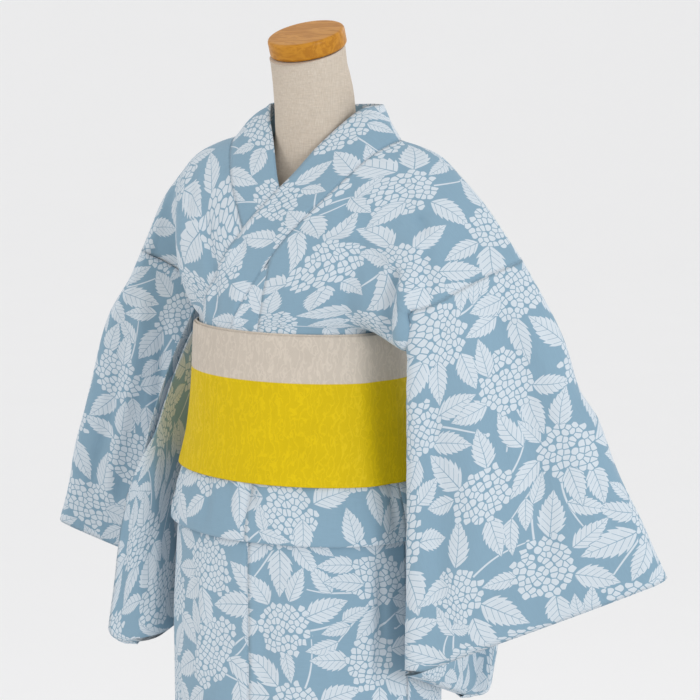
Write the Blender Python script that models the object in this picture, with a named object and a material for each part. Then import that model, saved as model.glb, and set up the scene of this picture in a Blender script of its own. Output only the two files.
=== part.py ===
import math

import bpy
import numpy as np

for thing in list(bpy.data.objects):
    bpy.data.objects.remove(thing, do_unlink=True)

# All sizes are in metres. +X is the wearer's left, -Y is the front, the floor is at height 0.

CLOTH = 0.0012  # thickness of the cotton, with its seam turnings
LAYER = 0.0022  # from one layer of cloth to the next

BODY_Y = 0.013  # the body's axis, behind the origin
OBI_TOP = 1.122
OBI_BOTTOM = 0.957
WAIST = 1.129  # where the bodice goes in under the obi
HEM = 0.075
TUCK_FOLD = 0.896  # lower fold of the waist tuck
KNOT_CENTRE = (0.0, 0.1475, 1.045)
KNOT_LEAN = 0.076  # the knot lies along the slope of the back
TUCK_TIE = 0.985  # upper turn of the waist tuck, under the obi

# Innermost face of the cloth round the body.
BODY_COLUMNS = ("height", "half_width", "half_depth")
BODY_ROWS = (
    (0.05, 0.150, 0.118),
    (0.40, 0.158, 0.126),
    (0.70, 0.163, 0.129),
    (0.90, 0.156, 0.124),
    (0.965, 0.139, 0.107),
    (1.00, 0.130, 0.101),
    (1.065, 0.122, 0.0965),
    (1.13, 0.119, 0.094),
)

# Layer number of each run of a panel, counted outwards from the body, at its middle.
# under: the skirt. middle: the hidden run of the tuck. over: the tuck's face and the bodice.
RUNS = {
    "left_front": {"under": 2, "middle": 3, "over": 6},
    "right_front": {"under": 1, "middle": 4, "over": 5},
    "back": {"under": 1, "middle": 2, "over": 3},
}
SIDE_SEAM = 76.0  # angle of the side seams from the front, in degrees
LAYERS_EVEN_FROM = 55.0  # from here to the side seam, a front comes down to the back's layers
STEP = 8.0  # degrees between the columns of points, in every layer alike
OKUMI_SEAM = 4.0  # angle of the seam between front width and overlap
OVERLAP_EDGE = -52.0  # angle where the overlap's free edge hangs

# Shoulder ridge and sleeve ridge, from the neck outwards.
RIDGE_Y = 0.035
RIDGE_COLUMNS = ("out", "height")
LEFT_RIDGE = (
    (0.000, 1.345),
    (0.060, 1.343),
    (0.115, 1.331),
    (0.155, 1.320),
    (0.176, 1.307),
    (0.213, 1.275),
    (0.241, 1.239),
    (0.263, 1.211),
)
RIGHT_RIDGE = (
    (0.000, 1.345),
    (0.060, 1.343),
    (0.104, 1.331),
    (0.148, 1.317),
    (0.172, 1.304),
    (0.195, 1.282),
    (0.225, 1.246),
    (0.256, 1.189),
)

# How a column of the bodice leaves the ridge and how it comes to the waist.
DRAPE_COLUMNS = ("s", "off_x", "off_y", "off_z", "in_x", "in_y", "in_z")
FRONT_DRAPE = (
    (0.0, 0.000, -0.055, -0.010, 0.000, 0.008, 0.080),
    (0.5, 0.000, -0.060, -0.012, 0.020, -0.012, 0.075),
    (0.8, 0.005, -0.055, -0.020, 0.045, -0.030, 0.055),
    (1.0, 0.000, -0.045, -0.020, 0.050, -0.030, 0.040),
)
BACK_DRAPE = (
    (0.0, 0.000, 0.070, -0.004, 0.000, 0.014, 0.100),
    (0.5, 0.000, 0.062, -0.008, 0.015, 0.020, 0.090),
    (0.8, 0.003, 0.050, -0.015, 0.030, 0.030, 0.060),
    (1.0, 0.000, 0.040, -0.020, 0.040, 0.020, 0.040),
)

# Collar on the fronts, by t from the ridge (0) to the top of the obi (1).
COLLAR_COLUMNS = ("t", "seam_s", "edge_s", "rise")
COLLAR_FRONT = (
    (0.00, 0.437, 0.250, 0.024),
    (0.12, 0.410, 0.200, 0.016),
    (0.25, 0.370, 0.120, 0.006),
    (0.40, 0.310, 0.030, 0.000),
    (0.70, 0.080, -0.230, 0.000),
    (1.00, -0.158, -0.510, 0.000),
)
# Collar round the back of the neck.
NAPE_COLUMNS = ("s", "t", "edge_x", "edge_y", "edge_z")
COLLAR_NAPE = (
    (0.437, 0.000, 0.0660, 0.035, 1.367),
    (0.330, 0.150, 0.0700, 0.062, 1.368),
    (0.170, 0.255, 0.0450, 0.090, 1.368),
    (0.000, 0.285, 0.0000, 0.102, 1.366),
)

# Sleeves: ridge from armhole to wrist, then the way the cloth folds beside the body.
SLEEVE_WIDTH = 0.37
SLEEVE_HEIGHT = 0.49
CUFF_OPENING = 0.23
CORNER_RADIUS = 0.05
SLEEVE_RIDGE_COLUMNS = ("out", "back", "height")
LEFT_SLEEVE_RIDGE = (
    (0.263, 0.035, 1.211),
    (0.297, 0.034, 1.166),
    (0.322, 0.033, 1.126),
    (0.343, 0.032, 1.073),
    (0.365, 0.031, 1.046),
    (0.392, 0.031, 0.986),
    (0.417, 0.030, 0.945),
    (0.453, 0.030, 0.882),
)
RIGHT_SLEEVE_RIDGE = (
    (0.256, 0.035, 1.189),
    (0.273, 0.036, 1.156),
    (0.304, 0.038, 1.112),
    (0.322, 0.041, 1.077),
    (0.355, 0.047, 0.984),
    (0.378, 0.052, 0.930),
    (0.392, 0.056, 0.880),
    (0.410, 0.060, 0.834),
)
# Corners that the sleeve's plan turns round, then where it ends at the armhole and at the wrist.
PLAN_COLUMNS = ("out", "back", "radius")
LEFT_PLAN = ((0.186, -0.082, 0.012), (0.190, 0.075, 0.020))
LEFT_PLAN_ENDS = ((0.235, 0.085), (0.205, 0.078))
RIGHT_PLAN = ((0.176, 0.078, 0.016), (0.180, -0.055, 0.018))
RIGHT_PLAN_ENDS = ((0.205, -0.060), (0.240, -0.058))
# Drop from the ridge to the sleeve's bottom: steady part and part that grows downwards.
DROP_COLUMNS = ("steady", "growing")
LEFT_DROP = ((0.095, 0.235), (0.195, 0.0))
RIGHT_DROP = ((0.110, 0.170), (0.115, 0.0))
# Half the space between the sleeve's two layers: near the ridge and at the bottom.
ARM_HALF_WIDTH = (0.022, 0.018)
BAG_HALF_WIDTH = 0.006
# How far down a sleeve's edge it is sewn to the body, front and back, and the edge's way to the waist.
ARMHOLE_COLUMNS = ("side", "face", "share", "out", "back", "height")
ARMHOLES = (
    (1, 1, 0.40, 0.215, -0.085, 1.085),
    (1, -1, 0.15, 0.190, 0.060, 1.140),
    (-1, 1, 0.36, 0.175, 0.030, 1.120),
    (-1, -1, 0.12, 0.190, 0.075, 1.140),
)
SEAM_END = 0.62  # t of a body panel's edge where the armhole seam ends

FORM_LINEN = (0.58, 0.50, 0.40)
WOOD = (0.53, 0.26, 0.08)
METAL = (0.35, 0.35, 0.36)
COTTON = (0.42, 0.58, 0.70)
OBI_IVORY = (0.62, 0.55, 0.46)
OBI_YELLOW = (0.70, 0.51, 0.02)


def column(names, rows, name):
    return np.array([row[names.index(name)] for row in rows])


def look_up(names, rows, key, value, name):
    return float(np.interp(value, column(names, rows, key), column(names, rows, name)))


def ease(value, low, high):
    f = min(max((value - low) / (high - low), 0.0), 1.0)
    return f * f * (3 - 2 * f)


def layer_at(panel, run, angle):
    """Lift of this run over the body at this angle."""
    middle = RUNS[panel][run]
    side = RUNS["back"][run]
    even = ease(abs(angle), LAYERS_EVEN_FROM, SIDE_SEAM - 4.0)
    return LAYER * (middle + (side - middle) * even)


def ring(angle, height, lift):
    width = look_up(BODY_COLUMNS, BODY_ROWS, "height", height, "half_width") + lift
    depth = look_up(BODY_COLUMNS, BODY_ROWS, "height", height, "half_depth") + lift
    turn = math.radians(angle)
    return np.array([width * math.sin(turn), BODY_Y - depth * math.cos(turn), height])


# ---- sleeves ----


def rounded_path(corners, radii):
    """A plan path with its inner corners rounded, as dense points."""
    points = [np.array(corners[0])]
    for i in range(1, len(corners) - 1):
        here = np.array(corners[i])
        back = np.array(corners[i - 1]) - here
        ahead = np.array(corners[i + 1]) - here
        back_length = np.linalg.norm(back)
        ahead_length = np.linalg.norm(ahead)
        cosine = float(np.dot(back, ahead) / back_length / ahead_length)
        half = math.acos(min(max(cosine, -1.0), 1.0)) / 2
        reach = radii[i - 1] / math.tan(half)
        reach = min(reach, 0.48 * back_length, 0.48 * ahead_length)
        start = here + back / back_length * reach
        end = here + ahead / ahead_length * reach
        for step in range(9):
            f = step / 8
            points.append((1 - f) ** 2 * start + 2 * f * (1 - f) * here + f * f * end)
    points.append(np.array(corners[-1]))
    return np.array(points)


def sleeve_point(side, a, b, face):
    """Point of a sleeve: a from armhole (0) to wrist (1), b from ridge (0) to bottom (1), face 1 or -1."""
    if side > 0:
        ridge, plan, ends, drops = LEFT_SLEEVE_RIDGE, LEFT_PLAN, LEFT_PLAN_ENDS, LEFT_DROP
    else:
        ridge, plan, ends, drops = RIGHT_SLEEVE_RIDGE, RIGHT_PLAN, RIGHT_PLAN_ENDS, RIGHT_DROP
    out = column(SLEEVE_RIDGE_COLUMNS, ridge, "out")
    back = column(SLEEVE_RIDGE_COLUMNS, ridge, "back")
    height = column(SLEEVE_RIDGE_COLUMNS, ridge, "height")
    along = np.concatenate([[0], np.cumsum(np.hypot(np.diff(out), np.diff(height)))])
    along = along / along[-1]
    start = (float(np.interp(a, along, out)), float(np.interp(a, along, back)))
    top = float(np.interp(a, along, height))
    end = tuple(e0 + (e1 - e0) * a for e0, e1 in zip(ends[0], ends[1]))
    corners = [start] + [(row[0], row[1]) for row in plan] + [end]
    path = rounded_path(corners, [row[2] for row in plan])
    steps = np.linalg.norm(np.diff(path, axis=0), axis=1)
    length = np.concatenate([[0], np.cumsum(steps)])
    where = b * length[-1]
    x = float(np.interp(where, length, path[:, 0]))
    y = float(np.interp(where, length, path[:, 1]))
    near = 0.004
    ahead = np.array([np.interp(where + near, length, path[:, i]) for i in (0, 1)])
    behind = np.array([np.interp(where - near, length, path[:, i]) for i in (0, 1)])
    heading = ahead - behind
    heading = heading / np.linalg.norm(heading)
    steady = drops[0][0] + (drops[1][0] - drops[0][0]) * a
    growing = drops[0][1] + (drops[1][1] - drops[0][1]) * a
    z = top - steady * b - growing * b**3
    wide = ARM_HALF_WIDTH[0] + (ARM_HALF_WIDTH[1] - ARM_HALF_WIDTH[0]) * a
    down = b * SLEEVE_HEIGHT
    spread = wide + (BAG_HALF_WIDTH - wide) * ease(down, 0.03, 0.30)
    if down < wide:
        spread = spread * math.sqrt(max(0.0, 1 - (1 - down / wide) ** 2))
    front = np.array([-heading[1], heading[0]])
    offset = front * spread * face
    return np.array([side * (x + offset[0]), y + offset[1], z])


# ---- bodice ----


def ridge_point(s):
    rows = LEFT_RIDGE if s >= 0 else RIGHT_RIDGE
    out = abs(s) * rows[-1][0]
    return np.array(
        [
            math.copysign(out, s),
            RIDGE_Y,
            look_up(RIDGE_COLUMNS, rows, "out", out, "height"),
        ]
    )


def armhole_edge(side, t, face, waist):
    """Outer edge of a body panel: down the sleeve's seam, then in to the waist."""
    row = next(row for row in ARMHOLES if row[:2] == (side, face))
    if t <= SEAM_END:
        return sleeve_point(side, 0.0, t / SEAM_END * row[2], face)
    last = sleeve_point(side, 0.0, row[2], face)
    hang = np.array([side * row[3], row[4], row[5]])
    f = (t - SEAM_END) / (1 - SEAM_END)
    return (1 - f) ** 2 * last + 2 * f * (1 - f) * hang + f * f * waist


def bodice(panel, s, t):
    """Point of the bodice: s from the middle (0) to an armhole (1 or -1), t from ridge to waist."""
    rows = BACK_DRAPE if panel == "back" else FRONT_DRAPE
    size = abs(s)
    sign = math.copysign(1.0, s)
    angle = SIDE_SEAM * size
    if panel == "back":
        angle = 180 - (180 - SIDE_SEAM) * size
    waist = ring(angle * sign, WAIST, layer_at(panel, "over", angle * sign))
    row = [look_up(DRAPE_COLUMNS, rows, "s", size, name) for name in DRAPE_COLUMNS[1:]]
    off = np.array([sign * row[0], row[1], row[2]])
    into = np.array([sign * row[3], row[4], row[5]])
    ridge = ridge_point(s)
    points = (ridge, ridge + off, waist + into, waist)
    weights = ((1 - t) ** 3, 3 * t * (1 - t) ** 2, 3 * t * t * (1 - t), t**3)
    found = sum(w * p for w, p in zip(weights, points))
    side_pull = ease(size, 0.60, 1.0)
    if side_pull > 0:
        face = -1 if panel == "back" else 1
        rim = bodice_rim(panel, sign, t)
        goal = armhole_edge(sign, t, face, rim[1])
        found = found + side_pull * (goal - rim[0])
    if panel == "right_front":
        full = min(1.0, t / 0.15)
        found = found + np.array([0.0, LAYER * (full - weights[2] - weights[3]), 0.0])
    return found


def bodice_rim(panel, sign, t):
    """The undrawn outer column of the drape, and its waist point."""
    rows = BACK_DRAPE if panel == "back" else FRONT_DRAPE
    waist = ring(SIDE_SEAM * sign, WAIST, layer_at(panel, "over", SIDE_SEAM))
    row = rows[-1]
    ridge = ridge_point(sign)
    off = np.array([sign * row[1], row[2], row[3]])
    into = np.array([sign * row[4], row[5], row[6]])
    points = (ridge, ridge + off, waist + into, waist)
    weights = ((1 - t) ** 3, 3 * t * (1 - t) ** 2, 3 * t * t * (1 - t), t**3)
    return sum(w * p for w, p in zip(weights, points)), waist


# ---- sheets of cloth ----


def material(name, colour, rough, metal=0.0):
    found = bpy.data.materials.new(name)
    found.use_nodes = True
    shader = found.node_tree.nodes["Principled BSDF"]
    shader.inputs["Base Color"].default_value = (*colour, 1.0)
    shader.inputs["Roughness"].default_value = rough
    shader.inputs["Metallic"].default_value = metal
    return found


def node(name, vertices, faces, colour, rough=0.8, metal=0.0, smooth=True):
    mesh = bpy.data.meshes.new(name)
    mesh.from_pydata([tuple(float(c) for c in v) for v in vertices], [], faces)
    mesh.validate()
    found = bpy.data.objects.new(name, mesh)
    bpy.context.scene.collection.objects.link(found)
    found.data.materials.append(material(name + "_material", colour, rough, metal))
    for polygon in mesh.polygons:
        polygon.use_smooth = smooth
    return found


def thicken(sheet, wall):
    solid = sheet.modifiers.new("wall", "SOLIDIFY")
    solid.thickness = wall
    solid.offset = 0.0
    solid.use_even_offset = False
    solid.use_rim = True
    return sheet


class Sheet:
    """Points shared between grids by a key, and the faces between them."""

    def __init__(self):
        self.points = []
        self.faces = []
        self.index = {}

    def add(self, key, point):
        if key not in self.index:
            self.index[key] = len(self.points)
            self.points.append(point)
        return self.index[key]

    def weave(self, grid, flip):
        for upper, lower in zip(grid, grid[1:]):
            for i in range(len(upper) - 1):
                face = [upper[i], upper[i + 1], lower[i + 1], lower[i]]
                face = [v for n, v in enumerate(face) if v not in face[:n]]
                if len(face) > 2:
                    self.faces.append(tuple(reversed(face)) if flip else tuple(face))


def half_turn(height, first, second, direction):
    """Rows of a fold between two layers, as (height, layer)."""
    radius = LAYER * abs(second - first) / 2
    rows = []
    for angle in (60, 120):
        turn = math.radians(angle)
        place = first + (second - first) * (1 - math.cos(turn)) / 2
        rows.append((height + direction * radius * math.sin(turn), place))
    return rows


UNDER_OBI = (1.065, 1.00, 0.965)


def lower_rows(panel):
    """(height, layer, side layer) rows of a panel from under the bodice to the hem."""
    runs = RUNS[panel]
    side = RUNS["back"]
    fold = TUCK_FOLD + (0.004 if panel == "right_front" else 0.0)
    tie = TUCK_TIE + (0.006 if panel == "right_front" else 0.0)
    rows = [(height, runs["over"], side["over"]) for height in UNDER_OBI + (fold,)]
    turn = half_turn(fold, runs["over"], runs["middle"], -1)
    side_turn = half_turn(fold, side["over"], side["middle"], -1)
    rows += [(row[0], row[1], other[1]) for row, other in zip(turn, side_turn)]
    rows += [(height, runs["middle"], side["middle"]) for height in (fold, 0.965, tie)]
    turn = half_turn(tie, runs["middle"], runs["under"], 1)
    side_turn = half_turn(tie, side["middle"], side["under"], 1)
    rows += [(row[0], row[1], other[1]) for row, other in zip(turn, side_turn)]
    heights = (tie, 0.965, 0.90, 0.70, 0.40, HEM)
    rows += [(height, runs["under"], side["under"]) for height in heights]
    return rows


def lower_point(angle, row):
    height, middle, side = row
    even = ease(abs(angle), LAYERS_EVEN_FROM, SIDE_SEAM - 4.0)
    return ring(angle, height, LAYER * (middle + (side - middle) * even))


def share_out(first, last, count):
    return [first + (last - first) * i / count for i in range(count + 1)]


def trimmed(values, by):
    """The same columns with the outer two drawn in by a seam's gap."""
    found = list(values)
    found[0] += math.copysign(by, found[-1] - found[0])
    found[-1] -= math.copysign(by, values[-1] - values[0])
    return found


def seam_s(t, name="seam_s"):
    return look_up(COLLAR_COLUMNS, COLLAR_FRONT, "t", t, name)


FRONT_STEPS = (0.0, 0.04, 0.12, 0.22, 0.34, 0.48, 0.62, 0.74, 0.86, 0.94, 1.0)
BACK_STEPS = (0.0, 0.08, 0.22, 0.42, 0.62, 0.75, 0.88, 1.0)
OKUMI_TOP = 0.72  # t on the collar seam where the overlap's point is
SEAM_DEGREES = 0.16  # a seam's half gap as an angle round the body
SEAM_S = 0.0026  # and as a part of the shoulder


def front_inner_s(t):
    """s of a front width's inner edge: the collar seam, then the overlap's seam."""
    if t <= OKUMI_TOP:
        return seam_s(t)
    f = (t - OKUMI_TOP) / (1 - OKUMI_TOP)
    return seam_s(OKUMI_TOP) + (OKUMI_SEAM / SIDE_SEAM - seam_s(OKUMI_TOP)) * f


def overlap_edge(height):
    """Angle of the overlap's edge, which runs out under the obi to where it hangs."""
    start = seam_s(1.0) * SIDE_SEAM
    return start + (OVERLAP_EDGE - start) * ease(OBI_TOP - height, 0.0, 0.13)


def nape_top(s):
    return look_up(NAPE_COLUMNS, COLLAR_NAPE[::-1], "s", s, "t")


def body_panel(name, side):
    """One width of cloth, front and back in one over the shoulder."""
    panel = "left_front" if side > 0 else "right_front"
    sheet = Sheet()
    columns = round((SIDE_SEAM - OKUMI_SEAM) / STEP)
    neck = round((180.0 - SIDE_SEAM) / STEP) - columns
    grid = []
    for t in FRONT_STEPS:
        line = []
        for i, s in enumerate(trimmed(share_out(front_inner_s(t), 1.0, columns), SEAM_S)):
            key = ("ridge", i) if t == 0 else ("front", t, i)
            line.append(sheet.add(key, bodice(panel, side * s, t)))
        grid.append(line)
    angles = trimmed(share_out(OKUMI_SEAM, SIDE_SEAM, columns), SEAM_DEGREES)
    for r, row in enumerate(lower_rows(panel)):
        line = [sheet.add(("low", r, i), lower_point(side * a, row)) for i, a in enumerate(angles)]
        grid.append(line)
    sheet.weave(grid, side < 0)
    ridge = share_out(0.0, seam_s(0), neck)[:-1] + share_out(seam_s(0), 1.0, columns)
    waist = share_out(0.0, 1.0, neck + columns)
    grid = []
    for f in BACK_STEPS:
        mixed = [r + (w - r) * f for r, w in zip(ridge, waist)]
        line = []
        for j, s in enumerate(trimmed(mixed, SEAM_S)):
            start = nape_top(ridge[j]) + 0.008 if j < neck else 0.0
            key = ("ridge", j - neck) if f == 0 and j >= neck else ("back", f, j)
            line.append(sheet.add(key, bodice("back", side * s, start + (1 - start) * f)))
        grid.append(line)
    angles = trimmed(share_out(180.0, SIDE_SEAM, neck + columns), SEAM_DEGREES)
    for r, row in enumerate(lower_rows("back")):
        line = [sheet.add(("rear", r, i), lower_point(side * a, row)) for i, a in enumerate(angles)]
        grid.append(line)
    sheet.weave(grid, side > 0)
    return thicken(node(name, sheet.points, sheet.faces, COTTON), CLOTH)


SLANT_ROWS = (1.105, 1.085, 1.065, 1.05, 1.035, 1.02, 1.00, 0.965)


def okumi(name, side):
    """The overlap sewn to a front width, from its point under the collar to the hem."""
    panel = "left_front" if side > 0 else "right_front"
    sheet = Sheet()
    columns = round((OKUMI_SEAM - OVERLAP_EDGE) / STEP)
    grid = []
    for t in (0.78, 0.86, 0.94, 1.0):
        line = []
        for i, s in enumerate(trimmed(share_out(seam_s(t), front_inner_s(t), columns), SEAM_S)):
            line.append(sheet.add(("front", t, i), bodice(panel, side * s, t)))
        grid.append(line)
    rows = lower_rows(panel)
    over, side_over = rows[0][1:]
    slant = [(height, over, side_over) for height in SLANT_ROWS]
    rows = slant + rows[len(UNDER_OBI) :]
    for r, row in enumerate(rows):
        inner = overlap_edge(row[0]) if r < len(slant) else OVERLAP_EDGE
        angles = trimmed(share_out(inner, OKUMI_SEAM, columns), SEAM_DEGREES)
        line = [sheet.add(("low", r, i), lower_point(side * a, row)) for i, a in enumerate(angles)]
        grid.append(line)
    sheet.weave(grid, side < 0)
    return thicken(node(name, sheet.points, sheet.faces, COTTON), CLOTH)


def collar_front(side, t):
    """A row of the collar on a front: its seam, its middle and its free edge."""
    panel = "left_front" if side > 0 else "right_front"
    seam = seam_s(t) - SEAM_S
    edge = seam_s(t, "edge_s")
    line = []
    for share, up in ((0.0, 0.0), (0.33, 0.55), (0.67, 0.85), (1.0, 1.0)):
        point = bodice(panel, side * (seam + (edge - seam) * share), t)
        line.append(point + np.array([0.0, 0.0, seam_s(t, "rise") * up]))
    return line


def collar_nape(side, s):
    """A row of the collar round the neck, standing off it."""
    seam = bodice("back", side * s, max(nape_top(s) - 0.012, 0.0))
    place = [look_up(NAPE_COLUMNS, COLLAR_NAPE[::-1], "s", s, name) for name in NAPE_COLUMNS[2:]]
    edge = np.array([side * place[0], place[1], place[2]])
    bow = np.array([0.0, 0.004, 0.004])
    return [seam, seam * 0.67 + edge * 0.33 + bow, seam * 0.33 + edge * 0.67 + bow, edge]


def collar_tail(side, height):
    """A row of the collar under the obi, beside the overlap's edge."""
    panel = "left_front" if side > 0 else "right_front"
    seam = overlap_edge(height) - SEAM_DEGREES
    width = (seam_s(1.0) - seam_s(1.0, "edge_s")) * SIDE_SEAM
    lift = layer_at(panel, "over", 0.0)
    return [ring(side * (seam - width * share), height, lift) for share in (0.0, 0.33, 0.67, 1.0)]


COLLAR_STEPS = (1.0, 0.94, 0.86, 0.78, 0.70, 0.62, 0.48, 0.34, 0.22, 0.12, 0.04)
TAIL_ROWS = (1.07, 1.085, 1.105)
NAPE_STEPS = (0.41, 0.36, 0.30, 0.23, 0.16, 0.08)


def collar(name):
    """The neckband: down the under front, round the nape and down the upper front."""
    lines = [collar_tail(1, height) for height in TAIL_ROWS]
    lines += [collar_front(1, t) for t in COLLAR_STEPS]
    lines += [collar_nape(1, s) for s in NAPE_STEPS]
    lines += [collar_nape(1, 0.0)]
    lines += [collar_nape(-1, s) for s in reversed(NAPE_STEPS)]
    lines += [collar_front(-1, t) for t in reversed(COLLAR_STEPS)]
    lines += [collar_tail(-1, height) for height in reversed(TAIL_ROWS)]
    sheet = Sheet()
    grid = []
    for r, line in enumerate(lines):
        grid.append([sheet.add((r, i), point) for i, point in enumerate(line)])
    sheet.weave(grid, False)
    return thicken(node(name, sheet.points, sheet.faces, COTTON), CLOTH)


SLEEVE_ACROSS = (0.0032, 0.15, 0.32, 0.50, 0.66, 0.80, 0.91, 1.0)
SLEEVE_STEPS = (0.27, 0.34, 0.42, 0.50, 0.57, 0.64, 0.71, 0.78, 0.85, 0.92, 1.0)


def sleeve(name, side):
    """A sleeve, folded at its ridge, open at the armhole and at the upper part of the wrist."""
    sheet = Sheet()
    share = next(row[2] for row in ARMHOLES if row[:2] == (side, 1))
    seam_rows = [t / SEAM_END * share for t in FRONT_STEPS if t <= SEAM_END]
    down = seam_rows + [v for v in SLEEVE_STEPS if v > seam_rows[-1] + 0.03]
    grids = {}
    for face in (1, -1):
        grid = []
        for v in down:
            line = []
            for a in SLEEVE_ACROSS:
                inside = max(0.0, CORNER_RADIUS - (1 - a) * SLEEVE_WIDTH)
                cut = CORNER_RADIUS - math.sqrt(CORNER_RADIUS**2 - inside**2)
                b = v * (1 - cut / SLEEVE_HEIGHT)
                key = ("ridge", a) if v == 0 else (face, v, a)
                line.append(sheet.add(key, sleeve_point(side, a, b, face)))
            grid.append(line)
        grids[face] = grid
        sheet.weave(grid, (face > 0) == (side < 0))
    front, back = grids[1], grids[-1]
    sheet.weave([front[-1], back[-1]], side < 0)
    cuff_row = next(i for i, v in enumerate(down) if v * SLEEVE_HEIGHT >= CUFF_OPENING)
    front_edge = [line[-1] for line in front[cuff_row:]]
    back_edge = [line[-1] for line in back[cuff_row:]]
    sheet.weave([front_edge, back_edge], side > 0)
    return thicken(node(name, sheet.points, sheet.faces, COTTON), CLOTH)


# ---- obi ----


OBI_LAYER = 4.0  # at the sides and back; in front it is over the three more layers of the overlap


def obi_wrap(name, pitch, wall, bottom, top, colour):
    """A closed wrap of the obi round the cloth that it holds."""
    count = round(360.0 / STEP)
    sheet = Sheet()
    grid = []
    for height in (top, 1.065, 1.00, 0.965, bottom):
        line = []
        for i in range(count + 1):
            angle = (OKUMI_SEAM + STEP * i + 180) % 360 - 180
            line.append(sheet.add((height, i % count), obi_point(angle, height, pitch)))
        grid.append(line)
    sheet.weave(grid, True)
    return thicken(node(name, sheet.points, sheet.faces, colour, 0.6), wall)


def obi_point(angle, height, pitch):
    front = 1 - ease(abs(angle), LAYERS_EVEN_FROM, SIDE_SEAM - 4.0)
    return ring(angle, height, LAYER * (OBI_LAYER + 3.0 * front) + pitch)


def box_loop(name, centre, size, wall, axis, colour):
    """A flat closed loop of the obi, standing on the back."""
    sheet = Sheet()
    corner = 0.35 * size[1]
    outline = []
    for sx, sy in ((1, 1), (-1, 1), (-1, -1), (1, -1)):
        for step in range(4):
            turn = math.radians({(1, 1): 0, (-1, 1): 90, (-1, -1): 180, (1, -1): 270}[(sx, sy)] + 30 * step)
            outline.append(
                (
                    sx * (size[0] - corner) + corner * math.cos(turn),
                    sy * (size[1] - corner) + corner * math.sin(turn),
                )
            )
    grid = []
    for level in (-size[2], 0.0, size[2]):
        line = []
        for i in range(len(outline) + 1):
            across, out = outline[i % len(outline)]
            offset = (across, out, level) if axis == "z" else (level, out, across)
            point = np.array(centre) + np.array(offset)
            point[1] -= KNOT_LEAN * offset[2]
            line.append(sheet.add((level, i % len(outline)), point))
        grid.append(line)
    sheet.weave(grid, axis == "x")
    return thicken(node(name, sheet.points, sheet.faces, colour, 0.6), wall)


# ---- dress form ----


FORM_COLUMNS = ("height", "half_width", "half_depth", "back")
FORM_TORSO = (
    (0.720, 0.105, 0.080, 0.013),
    (0.735, 0.128, 0.098, 0.013),
    (0.80, 0.148, 0.115, 0.013),
    (0.88, 0.146, 0.113, 0.013),
    (0.94, 0.132, 0.101, 0.013),
    (1.00, 0.120, 0.092, 0.013),
    (1.06, 0.112, 0.086, 0.013),
    (1.13, 0.116, 0.083, 0.013),
    (1.20, 0.126, 0.074, 0.020),
    (1.25, 0.130, 0.060, 0.028),
    (1.28, 0.120, 0.050, 0.036),
    (1.30, 0.090, 0.040, 0.034),
    (1.315, 0.062, 0.039, 0.034),
    (1.33, 0.050, 0.040, 0.034),
    (1.355, 0.0475, 0.0430, 0.033),
    (1.385, 0.0455, 0.0450, 0.029),
    (1.425, 0.0425, 0.0425, 0.017),
)
NECK_SLANT = 19.0  # degrees; the neck is cut lower in front, and its cap lies on the cut
CAP_HEIGHT = 0.020
CAP_RADIUS = 0.0440
CAP_CENTRE = (0.0, 0.017, 1.4400)


def lathe(name, rows, colour, rough, metal=0.0, count=32):
    """A closed body from rows of (height, half_width, half_depth, back)."""
    points = []
    faces = []
    for height, width, depth, back in rows:
        for i in range(count):
            angle = 2 * math.pi * i / count
            points.append(np.array([width * math.cos(angle), back + depth * math.sin(angle), height]))
    for r in range(len(rows) - 1):
        for i in range(count):
            j = (i + 1) % count
            faces.append((r * count + i, r * count + j, (r + 1) * count + j, (r + 1) * count + i))
    faces.append(tuple(reversed(range(count))))
    faces.append(tuple(range((len(rows) - 1) * count, len(rows) * count)))
    return node(name, points, faces, colour, rough, metal)


def dress_form():
    slant = math.radians(NECK_SLANT)
    torso = lathe("form_torso", FORM_TORSO, FORM_LINEN, 0.85)
    top = len(torso.data.vertices) - 32
    cut = CAP_CENTRE[2] - (CAP_HEIGHT / 2 + 0.0005) / math.cos(slant)
    for vertex in torso.data.vertices[top:]:
        vertex.co.z = cut + (vertex.co.y - CAP_CENTRE[1]) * math.tan(slant)
    edge = 0.004
    cap = (
        (-CAP_HEIGHT / 2, CAP_RADIUS - edge, CAP_RADIUS - edge, 0.0),
        (-CAP_HEIGHT / 2 + edge, CAP_RADIUS, CAP_RADIUS, 0.0),
        (CAP_HEIGHT / 2 - 2 * edge, CAP_RADIUS, CAP_RADIUS, 0.0),
        (CAP_HEIGHT / 2 - edge / 2, CAP_RADIUS - edge, CAP_RADIUS - edge, 0.0),
        (CAP_HEIGHT / 2, CAP_RADIUS - 3 * edge, CAP_RADIUS - 3 * edge, 0.0),
    )
    wood = lathe("form_cap", cap, WOOD, 0.25)
    for vertex in wood.data.vertices:
        y, z = vertex.co.y, vertex.co.z
        vertex.co.x += CAP_CENTRE[0]
        vertex.co.y = CAP_CENTRE[1] + y * math.cos(slant) - z * math.sin(slant)
        vertex.co.z = CAP_CENTRE[2] + y * math.sin(slant) + z * math.cos(slant)
    pole = ((0.0155, 0.013, 0.013, 0.0), (0.7195, 0.013, 0.013, 0.0))
    lathe("form_pole", pole, METAL, 0.3, 0.9, 24)
    base = (
        (0.0, 0.160, 0.160, 0.0),
        (0.010, 0.160, 0.160, 0.0),
        (0.0135, 0.156, 0.156, 0.0),
        (0.015, 0.150, 0.150, 0.0),
    )
    lathe("form_base", base, METAL, 0.4, 0.6, 40)


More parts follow.
